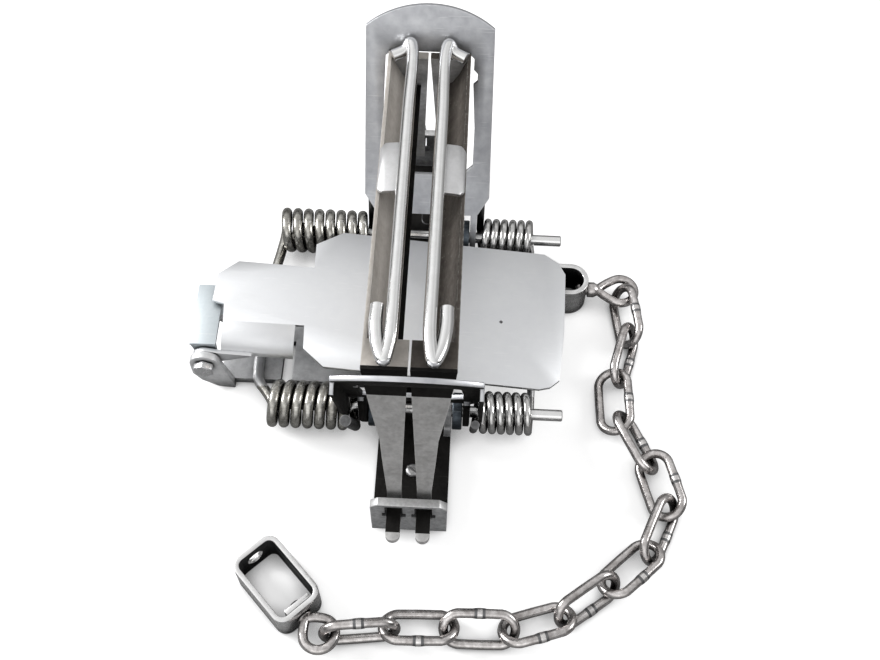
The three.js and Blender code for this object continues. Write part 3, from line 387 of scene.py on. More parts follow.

# Each steel, first line: clear, dull and rubbed colour, roughness from and to, patch scale and contrast.
# Second line: grain scale, stretch and depth, scratches, wear on edges and its width in millimetres,
# painted shade in the corners and its reach in millimetres, and how far it is bare metal
STEELS = {
    "pan": (
        (0.86, 0.87, 0.88), (0.78, 0.79, 0.81), (0.93, 0.93, 0.94), 0.34, 0.48, 40, 0.8,
        900, (0.12, 1, 1), 0.05, 0.25, 0.5, 0.5, 0.6, 14, 1.0),
    "lever": (
        (0.78, 0.79, 0.81), (0.54, 0.55, 0.58), (0.92, 0.92, 0.93), 0.30, 0.48, 45, 1.5,
        800, (1, 0.15, 0.15), 0.10, 0.4, 1.0, 0.8, 0.85, 18, 0.85),
    "jaw": (
        (0.72, 0.715, 0.71), (0.46, 0.455, 0.45), (0.88, 0.87, 0.86), 0.42, 0.60, 110, 1.5,
        700, (1, 1, 1), 0.25, 0.25, 0.8, 0.9, 1.0, 16, 0.5),
    # Lit and shaded copies of the trays' brown: the first is painted light, the second painted shade
    "tray": (
        (0.76, 0.72, 0.67), (0.56, 0.52, 0.475), (0.92, 0.90, 0.88), 0.45, 0.65, 90, 1.2,
        700, (1, 0.2, 1), 0.15, 0.2, 0.8, 0.6, 0.7, 12, 0.25),
    "tray_right": (
        (0.17, 0.153, 0.136), (0.095, 0.083, 0.073), (0.70, 0.68, 0.65), 0.45, 0.65, 90, 1.3,
        700, (1, 0.2, 1), 0.15, 0.2, 0.8, 0.6, 0.9, 14, 0.25),
    # Painted highlight for the jaws' rims and the tops of the base's ears
    "highlight": (
        (0.78, 0.78, 0.78), (0.52, 0.52, 0.52), (0.92, 0.92, 0.92), 0.28, 0.46, 170, 1.8,
        800, (1, 1, 1), 0.15, 0.3, 0.8, 0.7, 0.5, 8, 1.0),
    "shade": (
        (0.24, 0.24, 0.245), (0.12, 0.12, 0.122), (0.55, 0.55, 0.55), 0.30, 0.50, 120, 1.6,
        800, (1, 1, 0.3), 0.15, 0.3, 0.8, 0.7, 1.0, 16, 1.0),
    "base": (
        (0.56, 0.565, 0.575), (0.32, 0.324, 0.332), (0.84, 0.84, 0.85), 0.36, 0.58, 130, 1.8,
        700, (1, 0.3, 1), 0.22, 0.25, 1.0, 0.9, 0.9, 14, 0.5),
    "arm": (
        (0.88, 0.885, 0.895), (0.60, 0.605, 0.615), (0.92, 0.92, 0.93), 0.36, 0.56, 80, 1.5,
        700, (0.3, 1, 1), 0.15, 0.25, 1.0, 0.8, 1.0, 18, 0.6),
    # Painted shade, near black, under the levers, on the base's web and in the jaws' hidden parts
    "oily": (
        (0.014, 0.013, 0.012), (0.007, 0.0065, 0.006), (0.10, 0.095, 0.09), 0.62, 0.85, 120, 1.5,
        700, (1, 1, 1), 0.2, 0.12, 0.3, 0.5, 0.4, 14, 0.0),
    "polished": (
        (0.97, 0.97, 0.97), (0.84, 0.84, 0.83), (0.98, 0.98, 0.98), 0.06, 0.16, 60, 1.0,
        900, (1, 0.1, 1), 0.03, 0.2, 0.5, 0.5, 0.8, 8, 1.0),
    "clip": (
        (0.86, 0.86, 0.87), (0.70, 0.70, 0.70), (0.95, 0.95, 0.95), 0.26, 0.40, 90, 1.2,
        900, (1, 0.2, 1), 0.05, 0.2, 0.6, 0.5, 0.6, 8, 1.0),
    "main_spring": (
        (0.66, 0.65, 0.61), (0.20, 0.19, 0.17), (0.90, 0.89, 0.86), 0.12, 0.28, 100, 1.7,
        900, (1, 1, 1), 0.10, 0.3, 0.6, 0.6, 1.0, 9, 1.0),
    "side_spring": (
        (0.90, 0.90, 0.89), (0.50, 0.49, 0.48), (0.96, 0.96, 0.96), 0.08, 0.20, 100, 1.5,
        900, (1, 1, 1), 0.08, 0.3, 0.6, 0.6, 1.0, 8, 1.0),
    "bush": (
        (0.13, 0.155, 0.18), (0.06, 0.07, 0.082), (0.40, 0.43, 0.46), 0.32, 0.50, 140, 1.4,
        800, (1, 1, 1), 0.15, 0.3, 1.0, 0.5, 0.8, 8, 1.0),
    "bolt": (
        (0.86, 0.86, 0.87), (0.60, 0.60, 0.61), (0.95, 0.95, 0.95), 0.16, 0.32, 160, 1.4,
        800, (1, 1, 1), 0.12, 0.3, 1.0, 0.5, 0.9, 6, 1.0),
    "dog": (
        (0.78, 0.84, 0.87), (0.68, 0.74, 0.77), (0.90, 0.92, 0.93), 0.34, 0.48, 90, 1.1,
        800, (1, 0.2, 1), 0.08, 0.3, 0.7, 0.5, 0.7, 8, 1.0),
    "chain": (
        (0.84, 0.81, 0.80), (0.38, 0.355, 0.345), (0.98, 0.96, 0.95), 0.12, 0.26, 110, 1.7,
        800, (1, 1, 1), 0.14, 0.3, 0.6, 0.9, 1.0, 9, 1.0),
    "weld": (
        (0.90, 0.88, 0.87), (0.62, 0.60, 0.59), (0.96, 0.94, 0.93), 0.16, 0.30, 160, 1.5,
        800, (1, 1, 1), 0.2, 0.3, 0.6, 0.7, 0.8, 8, 1.0),
    "box": (
        (0.96, 0.96, 0.96), (0.72, 0.715, 0.71), (0.99, 0.99, 0.99), 0.12, 0.30, 100, 1.5,
        800, (1, 1, 0.2), 0.10, 0.3, 0.9, 0.9, 1.0, 12, 1.0),
    "rivet": (
        (0.80, 0.80, 0.805), (0.52, 0.52, 0.525), (0.92, 0.92, 0.92), 0.20, 0.36, 160, 1.4,
        800, (1, 1, 1), 0.12, 0.3, 1.0, 0.5, 0.8, 6, 1.0),
}


def steel(key):
    """The steel of that name, made once."""
    title = f"{key.replace('_', ' ').capitalize()} steel"
    made = bpy.data.materials.get(title)
    if made is not None:
        return made
    if not GROUPS:
        GROUPS.update(mottle=mottle_group(), grain=grain_group(), wear=wear_group(), scratch=scratch_group(),
                      grime=corner_shade_group())
    (clear, dull, brightened, rough_low, rough_high, patch, contrast,
     grain, stretch, depth, scratches, wear, width, grime, reach, bare) = STEELS[key]
    made = bpy.data.materials.new(title)
    made.use_nodes = True
    tree = made.node_tree
    shader = tree.nodes["Principled BSDF"]
    shader.inputs["Metallic"].default_value = bare
    shader.inputs["Specular IOR Level"].default_value = 0.15
    place = node(tree, "ShaderNodeTexCoord")

    def use(kind, values):
        used = node(tree, "ShaderNodeGroup", {"node_tree": GROUPS[kind]}, values)
        joined(tree, (place, "Object", used, "Vector"))
        return used

    patches = use("mottle", {"Scale": patch, "Contrast": contrast})
    lines = use("grain", {"Scale": grain, "Stretch": stretch})
    marks = use("scratch", {"Scale": 70.0, "Amount": scratches})
    edges = use("wear", {"Width": width * MM, "Amount": wear})
    shaded_corners = use("grime", {"Reach": reach * MM, "Amount": grime})
    body = node(tree, "ShaderNodeMix", {"data_type": "RGBA"})
    body.inputs["A"].default_value = (*clear, 1)
    body.inputs["B"].default_value = (*dull, 1)
    bright = node(tree, "ShaderNodeMix", {"data_type": "RGBA"})
    bright.inputs["B"].default_value = (*brightened, 1)
    # Painted shade: the colour darkens towards black in hidden corners
    shaded = node(tree, "ShaderNodeMix", {"data_type": "RGBA"})
    shaded.inputs["B"].default_value = (*(0.12 * tone for tone in dull), 1)
    strongest = node(tree, "ShaderNodeMath", {"operation": "MAXIMUM"})
    rough = node(tree, "ShaderNodeMapRange", values={"To Min": rough_low, "To Max": rough_high})
    fuzz = node(tree, "ShaderNodeMath", {"operation": "MULTIPLY_ADD"}, {1: 0.12})
    height = node(tree, "ShaderNodeMath", {"operation": "MULTIPLY_ADD"}, {1: -0.6})
    bump = node(tree, "ShaderNodeBump", values={"Strength": depth, "Distance": 0.0004})
    joined(tree, (patches, "Mask", body, "Factor"), (body, "Result", bright, "A"),
           (edges, "Mask", strongest, 0), (marks, "Mask", strongest, 1), (strongest, 0, bright, "Factor"),
           (bright, "Result", shaded, "A"), (shaded_corners, "Mask", shaded, "Factor"),
           (shaded, "Result", shader, "Base Color"), (patches, "Mask", rough, "Value"),
           (lines, "Lines", fuzz, 0), (rough, "Result", fuzz, 2), (fuzz, 0, shader, "Roughness"),
           (marks, "Mask", height, 0), (lines, "Lines", height, 2), (height, 0, bump, "Height"),
           (bump, "Normal", shader, "Normal"))
    return made


class TrapSizes(bpy.types.PropertyGroup):
    """Sizes of the wire and of the rounding on sheared edges."""

    edge: FloatProperty(name="Edge rounding", description="Rounding left on the sheared edges of the sheets",
                        default=0.35 * MM, unit="LENGTH")
    main_wire: FloatProperty(name="Main spring wire", description="Thickness of the heavy spring wire",
                             default=4.6 * MM, unit="LENGTH")
    side_wire: FloatProperty(name="Side spring wire", description="Thickness of the light spring wire",
                             default=3.4 * MM, unit="LENGTH")
    chain_wire: FloatProperty(name="Chain wire", description="Thickness of the wire in the chain links",
                              default=4.0 * MM, unit="LENGTH")


class TrapStage(bpy.types.PropertyGroup):
    """Floor, lamps and lens."""

    floor: FloatVectorProperty(name="Floor colour", description="Colour of the plain floor",
                               default=(0.86, 0.86, 0.86), size=3, subtype="COLOR", min=0, max=1)
    key_power: FloatProperty(name="Key lamp", description="Power of the large soft lamp overhead",
                             default=5.0, unit="POWER")
    fill_power: FloatProperty(name="Fill lamp", description="Power of the soft lamp at the left",
                              default=1.2, unit="POWER")
    lens: FloatProperty(name="Lens", description="Focal length of the camera in millimetres",
                        default=47.45, unit="CAMERA")


class TRAP_OT_sheets(bpy.types.Operator):
    """Sheet steel with rounded edges: base, cross arm, levers, jaws, clips, pan, latch plate and strap."""

    bl_idname = "trap.sheets"
    bl_label = "Sheet steel"

    def split(self, piece, place, normal):
        """Cut the faces along a plane, so that each side can have its own steel."""
        only(piece)
        bpy.ops.object.mode_set(mode="EDIT")
        bpy.ops.mesh.select_all(action="SELECT")
        bpy.ops.mesh.bisect(plane_co=mm(*place), plane_no=normal)
        bpy.ops.object.mode_set(mode="OBJECT")

    def lever(self, piece):
        """Painted shade, near black, on the underside and inside the flanges."""
        end = piece.name.split("_")[0]
        side = -1 if end == "near" else 1
        turn = math.radians(RAISED[end])
        under = Vector((0, side * math.sin(turn), -math.cos(turn)))
        paint(piece, "oily", lambda f: f.normal.dot(under) > 0.8
              or (abs(f.normal.x) > 0.9 and f.normal.x * f.calc_center_median().x < 0))

    def jaw(self, piece):
        """Brown trays, the left one lit and the right one in painted shade, painted highlight on the rims,
        and painted shade at the near plate, along the middle and at the tabs' roots.
        """
        root, tab, leg_top = 96.4, 104, 91
        plate_y, plate_half = -62, 14.5
        tray_low, tray_end = 78, 74
        rim_z, rim_x = 103, 14
        middle_z, middle_half = 60, 6.6
        for end in (-1, 1):
            self.split(piece, (0, end * tab, 0), (0, 1, 0))
        self.split(piece, (0, 0, leg_top), (0, 0, 1))

        def tray(face):
            x, y, z = face.calc_center_median() / MM
            return z > tray_low and abs(y) < tray_end and abs(face.normal.y) < 0.3

        def brightened(face):
            x, y, z = face.calc_center_median() / MM
            return z > rim_z and abs(x) > rim_x and face.normal.z > 0.3

        def in_deep_shade(face):
            x, y, z = face.calc_center_median() / MM
            at_plate = z > leg_top and y < plate_y and abs(x) < plate_half
            at_middle = z > middle_z and abs(x) < middle_half
            return root < abs(y) < tab or at_plate or at_middle

        # Painted light and shade: the left tray gets the lit brown, the right one its dark copy
        paint(piece, "tray" if "left" in piece.name else "tray_right", tray)
        # Painted highlight on the rims' top faces
        paint(piece, "highlight", brightened)
        # Painted shade, near black, at the near plate, along the middle and at the tabs' roots
        paint(piece, "oily", in_deep_shade)

    def base(self, piece):
        """Painted shade on the web, and painted highlight on top of the ears."""
        web, ear = 12 * MM, 27.5 * MM
        paint(piece, "oily", lambda f: f.normal.z > 0.9 and f.calc_center_median().z < web)
        paint(piece, "highlight", lambda f: f.normal.z > 0.3 and f.calc_center_median().z > ear)

    def strap(self, piece):
        """Shade inside the strap."""
        centre = mm(*STRAP).xy
        inside = 2 * MM
        paint(piece, "shade", lambda f: abs(f.normal.z) < 0.5
              and f.normal.xy.dot(centre - f.calc_center_median().xy) > inside)

    def pan(self, piece):
        """The small dimple in the right half."""
        centre = mm(*DIMPLE)
        reach = 1.0625 * DIMPLE_RADIUS * MM
        only()
        bpy.ops.mesh.primitive_uv_sphere_add(segments=24, ring_count=16, radius=DIMPLE_RADIUS * MM,
                                             location=centre)
        ball = named("ball")
        settle(ball)
        combined(piece, ball, "DIFFERENCE")
        # Painted shade: the dimple's inside gets the darker base steel
        paint(piece, "base", lambda f: (f.calc_center_median() - centre).length < reach)

    def execute(self, context):
        edge = context.scene.trap_sizes.edge / MM
        details = {
            "lever": self.lever, "jaw": self.jaw, "base": self.base, "box": self.strap, "pan": self.pan,
        }
        rows = [
            ("base_frame", "base_channel", "base", "base_steel", "base"),
            ("cross_arm", "cross_plate", "base", "arm_steel", "arm"),
            ("lever_near", "near_lever_plate", "near_lever", "lever_steel", "lever"),
            ("lever_far", "far_lever_plate", "far_lever", "lever_steel", "lever"),
            ("jaw_left", "left_jaw_bar", "left_jaw", "jaw_steel", "jaw"),
            ("jaw_right", "right_jaw_bar", "right_jaw", "jaw_steel", "jaw"),
            ("jaw_clip_left", "left_clip", "left_jaw", "polished_steel", "clip"),
            ("jaw_clip_right", "right_clip", "right_jaw", "polished_steel", "clip"),
            ("pan", "pan_plate", "trigger_pan", "pan_steel", "pan"),
            ("dog", "latch_plate", "latch_dog", "dog_steel", "dog"),
            ("swivel_strap", "strap_loop", "strap", "box_steel", "box"),
        ]
        for solid, name, body, slot, finish in rows:
            piece = merged_copy(solid, name)
            rounded(piece, edge)
            piece.data.materials.append(steel(finish))
            if finish in details:
                details[finish](piece)
            done(piece, body, slot, finish, solid)
        return {"FINISHED"}


class TRAP_OT_springs(bpy.types.Operator):
    """Double torsion springs: coils and bridge in one wire, and a leg under each lever."""

    bl_idname = "trap.springs"
    bl_label = "Springs"

    def coil(self, side, end, turns, bulge, wire_mm, radius, pitch):
        """Leg and coil line of one end, as (leg points, coil points)."""
        lean = math.radians(RAISED["near" if end < 0 else "far"])
        start = math.pi * 1.5 - lean
        total = lean + 2 * math.pi * turns
        steps = STEPS_PER_TURN * turns
        rise = pitch / (2 * math.pi)
        stand, stand_steps, bridge_in = 0.4, 9, 17
        first = ARM_OUTER + GAP + wire_mm / 2

        def at(x, inward, z):
            return Vector((side * x, end * (ROD_Y - inward), z))

        def around(x, turn):
            return at(x, radius * math.cos(turn), ROD_Z + radius * math.sin(turn))

        bend = around(first, start)
        leg = [bend + Vector((0, end * math.cos(lean), math.sin(lean))) * reach
               for reach in (LEG_REACH, LEG_REACH - 0.4, LEG_REACH / 2, 0)]
        line = []
        for i in range(steps + 1):
            share = i / steps
            ease = min(1.0, share * steps / stand_steps)
            line.append(around(first + stand * ease + rise * total * share, start + total * share))
        last = first + stand + rise * total
        turn_in = [at(last + stand + bulge * out, bridge_in * inward, ROD_Z - radius)
                   for out, inward in ((0.05, 0.25), (0.45, 0.55), (0.85, 0.8), (1, 1))]
        return leg, line, turn_in

    def execute(self, context):
        sizes = context.scene.trap_sizes
        main_wire, side_wire = sizes.main_wire / MM, sizes.side_wire / MM
        side_coil = side_wire / 2 - main_wire / 2 + MAIN_COIL
        # Name, side, wire, coil radius, pitch, and turns and bulge of the near and of the far coil
        springs = [
            ("main_spring", -1, main_wire, MAIN_COIL, 5.08, (7, 8.4), (8, 1.6)),
            ("side_spring", 1, side_wire, side_coil, 3.86, (6, 0.4), (6, 0.4)),
        ]
        for name, side, thick, radius, pitch, near, far in springs:
            near_leg, near_coil, near_turn = self.coil(side, -1, *near, thick, radius, pitch)
            far_leg, far_coil, far_turn = self.coil(side, 1, *far, thick, radius, pitch)
            bridge = along([*near_coil[-2:], *near_turn, *reversed(far_turn), *reversed(far_coil[-2:])], 8)
            line = near_coil[:-2] + bridge + list(reversed(far_coil[:-2]))
            coils = wire(f"{name}_coils", line, thick / 2)
            smooth(coils)
            coils.data.materials.append(steel(name))
            # Painted highlight: the near half of the bridge gets the brighter clip steel
            paint(coils, "clip", lambda f: -BRIDGE_Y * MM < f.calc_center_median().y < 0)
            done(coils, "base", f"{name}_steel", name, name)
            for leg, body in ((near_leg, "near_lever"), (far_leg, "far_lever")):
                piece = wire(f"{name}_leg_{body.split('_')[0]}", leg, thick / 2)
                smooth(piece)
                done(piece, body, f"{name}_steel", "shade")
        return {"FINISHED"}


# Turned pieces as (radius, height) steps in millimetres
TURNED = {
    "rod": [
        (3.4, -60.5), (4, -60), (4, -58.6), (3.6, -58), (ROD_RADIUS, -58), (ROD_RADIUS, 62.6), (2.1, 63)],
    "bush": [(7.55, 0), (7.95, 0.4), (7.95, 3.8), (7.55, 4.2)],
    "bore": [(2.86, -2), (2.86, 7)],
    "rivet": [(2.2, 0), (2.2, 7.6), (4.2, 7.6), (4.1, 8.2), (3.4, 9.0), (2.1, 9.5), (0.6, 9.6)],
    "screw": [
        (2.7, 2.9), (3, 3.1), (3, 4), (2, 4), (2, 7.6), (3, 7.6), (2.9, 8.5), (2.0, 9.1), (0.5, 9.2)],
    "hex": [(4.2, 0), (4.6, 0.4), (4.6, 3.0), (4.0, 3.5)],
    "shank": [(2.5, 1), (2.5, 39.6)],
    "tail": [(3.2, 39), (3.2, 39.9), (2.9, 40.2)],
    "pin": [
        (3.0, -9.9), (3.4, -9.5), (3.4, -8.8), (2, -8.8), (2, 8.8), (3.4, 8.8), (3.4, 9.5), (3.0, 9.9)],
    "hole": [(3.6, -22), (3.6, -10)],
}


class TRAP_OT_rods(bpy.types.Operator):
    """Turned pieces: rods, bushes, rivets, screw, trigger bolt and strap pin."""

    bl_idname = "trap.rods"
    bl_label = "Rods and fasteners"

    def execute(self, context):
        across = Matrix.Rotation(math.pi / 2, 4, "Y")
        for end, y in (("near", -ROD_Y), ("far", ROD_Y)):
            rod = turned(f"{end}_rod", TURNED["rod"])
            placed(rod, Matrix.Translation(mm(0, y, ROD_Z)) @ across)
            smooth(rod)
            done(rod, "base", "polished_steel", "polished", f"spring_rod_{end}")
            for side, x in BUSH_X.items():
                bush = turned(f"{end}_{side}_bush", TURNED["bush"])
                combined(bush, turned("bore", TURNED["bore"]), "DIFFERENCE")
                placed(bush, Matrix.Translation(mm(x, y, ROD_Z)) @ across)
                smooth(bush)
                done(bush, "base", "bush_steel", "bush", f"bush_{end}_{side}")
        for end, y in (("near", -RIVET_Y), ("far", RIVET_Y)):
            rivet = turned(f"{end}_arm_rivet", TURNED["rivet"])
            placed(rivet, Matrix.Translation(mm(0, y, 0)))
            smooth(rivet, 50)
            done(rivet, "base", "rivet_steel", "rivet", f"arm_rivet_{end}")
        screw = turned("pan_screw", TURNED["screw"])
        only()
        top = TURNED["screw"][-1][1]
        slot, slot_turn = mm(7, 0.8, 1.6), math.radians(-38)
        bpy.ops.mesh.primitive_cube_add(size=1, location=mm(0, 0, top), rotation=(0, 0, slot_turn),
                                        scale=slot)
        cutter = named("cutter")
        settle(cutter)
        combined(screw, cutter, "DIFFERENCE")
        placed(screw, Matrix.Translation(mm(0, SCREW_Y, 0)))
        smooth(screw, 50)
        done(screw, "base", "rivet_steel", "rivet", "base_screw")

        head = turned("trigger_bolt_hex", TURNED["hex"], sides=6)
        combined(head, turned("shank", TURNED["shank"]))
        combined(head, turned("tail", TURNED["tail"]))
        placed(head, Matrix.Translation(BOLT * MM) @ Matrix.Rotation(-math.pi / 2, 4, "X"))
        rounded(head, 0.15)
        done(head, "base", "bolt_steel", "bolt", "trigger_bolt")

        pin = turned("strap_rivet", TURNED["pin"])
        placed(pin, Matrix.Translation(mm(*STRAP)) @ Matrix.Rotation(math.pi / 2, 4, "X"))
        smooth(pin)
        done(pin, "strap", "rivet_steel", "rivet", "strap_pin")
        return {"FINISHED"}


class TRAP_OT_jaw_rods(bpy.types.Operator):
    """Bright round rods along the jaws, with a hairpin at the near end."""

    bl_idname = "trap.jaw_rods"
    bl_label = "Jaw rods"

    def execute(self, context):
        x, z, y, hairpin, back, drop = 6.8, 112.0, 74.2, 62.0, 12.5, 2.5
        places = [
            (back + drop, y - 2 * drop, z - drop * 1.4), (back - drop, y - drop, z - drop),
            (x + drop / 2, y - drop / 5, z - drop / 8), (x, y - 2 * drop, z), (x, y / 2, z), (x, 0, z),
            (x, -y / 2, z), (x, -hairpin, z), (x + drop / 8, -y + 3 * drop, z - drop / 8),
            (x + drop / 1.3, -y, z - drop / 3),
            (x + drop * 1.7, -y + 2 * drop, z - drop / 2), (back, -hairpin + drop, z - drop / 2),
            (back, -hairpin + 4 * drop, z - drop / 2),
        ]
        for name, side in (("left", -1), ("right", 1)):
            points = [Vector((side * px, py, pz)) for px, py, pz in places]
            rod = wire(f"{name}_jaw_rod", along(points, 10), drop, 8)
            smooth(rod)
            done(rod, f"{name}_jaw", "polished_steel", "polished", f"jaw_rod_{name}")
        return {"FINISHED"}


# Links from the trap to the end box: x and y in millimetres, heading and lean in degrees
LINKS = [
    (93.4, 10.2, -82, 58), (91.8, -10.7, -105, -62), (86.8, -33.2, -88, 25), (95.3, -53, -64, -50),
    (105.3, -71.9, -74, 25), (103.7, -92.3, -113, -54), (91.4, -109.3, -137, 26), (73.2, -123.6, -143, -61),
    (53.3, -134.2, -162, 27), (30.3, -137.1, -179, -43), (6.3, -137.5, -178, 26), (-16.9, -140.7, -173, -81),
]
# Links whose weld lies on the far side
FAR_WELDS = (10, 12)


class TRAP_OT_chain(bpy.types.Operator):
    """Twelve welded links of round wire, as they lie on the floor."""

    bl_idname = "trap.chain"
    bl_label = "Chain"

    def link(self, name, wire_mm, weld_side):
        """One link along X: a ring drawn out at both ends, with the weld swollen on one side."""
        radius, straight = (LINK_WIDTH + wire_mm) / 2, (LINK_LENGTH - LINK_WIDTH) / 2
        band, dark, slope, swell = 1, 2.2, 2.9, 1.06
        only()
        bpy.ops.mesh.primitive_torus_add(major_segments=36, minor_segments=16, major_radius=radius * MM,
                                         minor_radius=(wire_mm - SLACK) / 2 * MM)
        piece = named(name)
        bpy.ops.object.mode_set(mode="EDIT")
        for sign in (-1, 1):
            pick(piece, "VERT", lambda v: v.co.x * sign > 1e-5)
            bpy.ops.transform.translate(value=mm(sign * straight, 0, 0))
        for x in (-slope, -dark, -band, band, dark, slope):
            bpy.ops.mesh.select_all(action="SELECT")
            bpy.ops.mesh.bisect(plane_co=mm(x, 0, 0), plane_no=(1, 0, 0))
        for reach in (dark + 0.1, band + 0.1):
            pick(piece, "VERT", lambda v: abs(v.co.x) < reach * MM and v.co.y * weld_side > 0)
            bpy.ops.transform.resize(value=(1, swell, swell), center_override=mm(0, weld_side * radius, 0))
        bpy.ops.object.mode_set(mode="OBJECT")
        outward(piece)
        smooth(piece, 60)
        piece.data.materials.append(steel("chain"))
        for finish, near, far in (("weld", 0, band), ("shade", band, dark)):
            paint(piece, finish, lambda f: near * MM < abs(f.calc_center_median().x) < far * MM
                  and f.calc_center_median().y * weld_side > 0)
        return piece

    def execute(self, context):
        thick = context.scene.trap_sizes.chain_wire / MM
        radius = (LINK_WIDTH + thick) / 2
        for number, (x, y, yaw, roll) in enumerate(LINKS, 1):
            lean = math.radians(roll)
            resting = max(LINK_FLOOR + thick / 2 + radius * abs(math.sin(lean)), thick * LINK_FLAT)
            piece = self.link(f"link_{number:02d}_wire", thick, -1 if number in FAR_WELDS else 1)
            turn = Matrix.Rotation(math.radians(yaw), 4, "Z") @ Matrix.Rotation(lean, 4, "X")
            placed(piece, Matrix.Translation(mm(x, y, resting)) @ turn)
            done(piece, f"link_{number:02d}", "chain_steel", "chain", f"chain_link_{number:02d}")
        return {"FINISHED"}


class TRAP_OT_swivels(bpy.types.Operator):
    """Swivel eyes and the closed end box."""

    bl_idname = "trap.swivels"
    bl_label = "Swivels"

    def eye(self, name, wall, neck):
        """Ring drawn towards its stem, and a riveted head, along X, with the wall's outer face at zero."""
        draw, centre, steps, pinch = neck * 0.4, neck + EYE_RADIUS, 48, 0.45
        line = []
        for i in range(steps):
            turn = 2 * math.pi * i / steps
            drawn = max(0, -math.cos(turn)) ** 2
            across = EYE_RADIUS * math.sin(turn) * (1 - pinch * drawn)
            line.append((centre + EYE_RADIUS * math.cos(turn) - draw * drawn, across, 0))
        ring = wire(name, line, EYE_WIRE - SLACK, closed=True)
        end = neck - draw
        stem = turned("stem", [
            (0.8, -wall - 2.7), (2.2, -wall - 2.2), (3.1, -wall - 1.3), (3.4, -wall - GAP),
            (2.4, -wall - GAP), (2.4, GAP), (3.3, GAP), (3.48, 0.5), (3.48, end * 0.6), (2.9, end * 0.8),
            (2.4, end), (1.6, end + 0.5)])
        placed(stem, Matrix.Rotation(math.pi / 2, 4, "Y"))
        combined(ring, stem)
        outward(ring)
        return ring

    def execute(self, context):
        trap_eye = self.eye("trap_eye_ring", STRIP + 1, TRAP_NECK)
        placed(trap_eye, Matrix.Translation(mm(*TRAP_EYE)))
        smooth(trap_eye, 50)
        done(trap_eye, "trap_eye", "chain_steel", "chain", "swivel_eye_trap")

        turn = math.radians(END_TURN)
        heading = Vector((math.cos(turn), math.sin(turn), 0))
        wall = Vector((*END_EYE, 0)) + heading * (END_NECK + EYE_RADIUS)
        end_eye = self.eye("end_eye_ring", STRIP + STRIP, END_NECK)
        spin = Matrix.Rotation(turn + math.pi, 4, "Z")
        placed(end_eye, Matrix.Translation((wall + Vector((0, 0, END_EYE_Z))) * MM) @ spin)
        smooth(end_eye, 50)
        done(end_eye, "end_eye", "chain_steel", "chain", "swivel_eye_end")

        length, width, height = BOX
        middle = height / 2
        only()
        bpy.ops.mesh.primitive_cube_add(size=1, location=mm(0, 0, middle), scale=mm(*BOX))
        loop = named("end_box_band")
        settle(loop)
        bpy.ops.object.mode_set(mode="EDIT")
        pick(loop, "EDGE", lambda e: abs(e.verts[0].co.z - e.verts[1].co.z) > MM)
        bpy.ops.mesh.bevel(offset=BOX_CORNER * MM, segments=8, affect="EDGES")
        pick(loop, "FACE", lambda f: abs(f.normal.z) > 0.9)
        bpy.ops.mesh.delete(type="FACE")
        bpy.ops.object.mode_set(mode="OBJECT")
        band = loop.modifiers.new("Wall", "SOLIDIFY")
        band.thickness = STRIP * MM
        band.offset = -1
        band.use_even_offset = True
        bpy.ops.object.modifier_apply(modifier=band.name)
        only()
        lap_x, lap_thick = 13.75, STRIP - 0.1
        bpy.ops.mesh.primitive_cube_add(size=1, location=mm(lap_x, 0, middle),
                                        scale=mm(lap_thick, width - 2 * BOX_CORNER, height))
        lap = named("lap")
        settle(lap)
        rounded(lap, 0.3)
        hole = turned("hole", TURNED["hole"])
        placed(hole, Matrix.Translation(mm(0, 0, middle)) @ Matrix.Rotation(math.pi / 2, 4, "Y"))
        combined(loop, hole, "DIFFERENCE")
        rounded(loop, 0.45)
        only(lap, loop)
        bpy.ops.object.join()
        loop.data.materials.append(steel("box"))
        inside = (length / 2 - 2) * MM
        paint(loop, "shade", lambda f: abs(f.normal.z) < 0.5 and abs(f.calc_center_median().x) < inside
              and f.normal.xy.dot(f.calc_center_median().xy) < 0)
        centre = (wall + heading * length / 2 + Vector((0, 0, GAP))) * MM
        placed(loop, Matrix.Translation(centre) @ spin)
        smooth(loop)
        done(loop, "anchor_box", "box_steel", "box", "end_box")
        return {"FINISHED"}


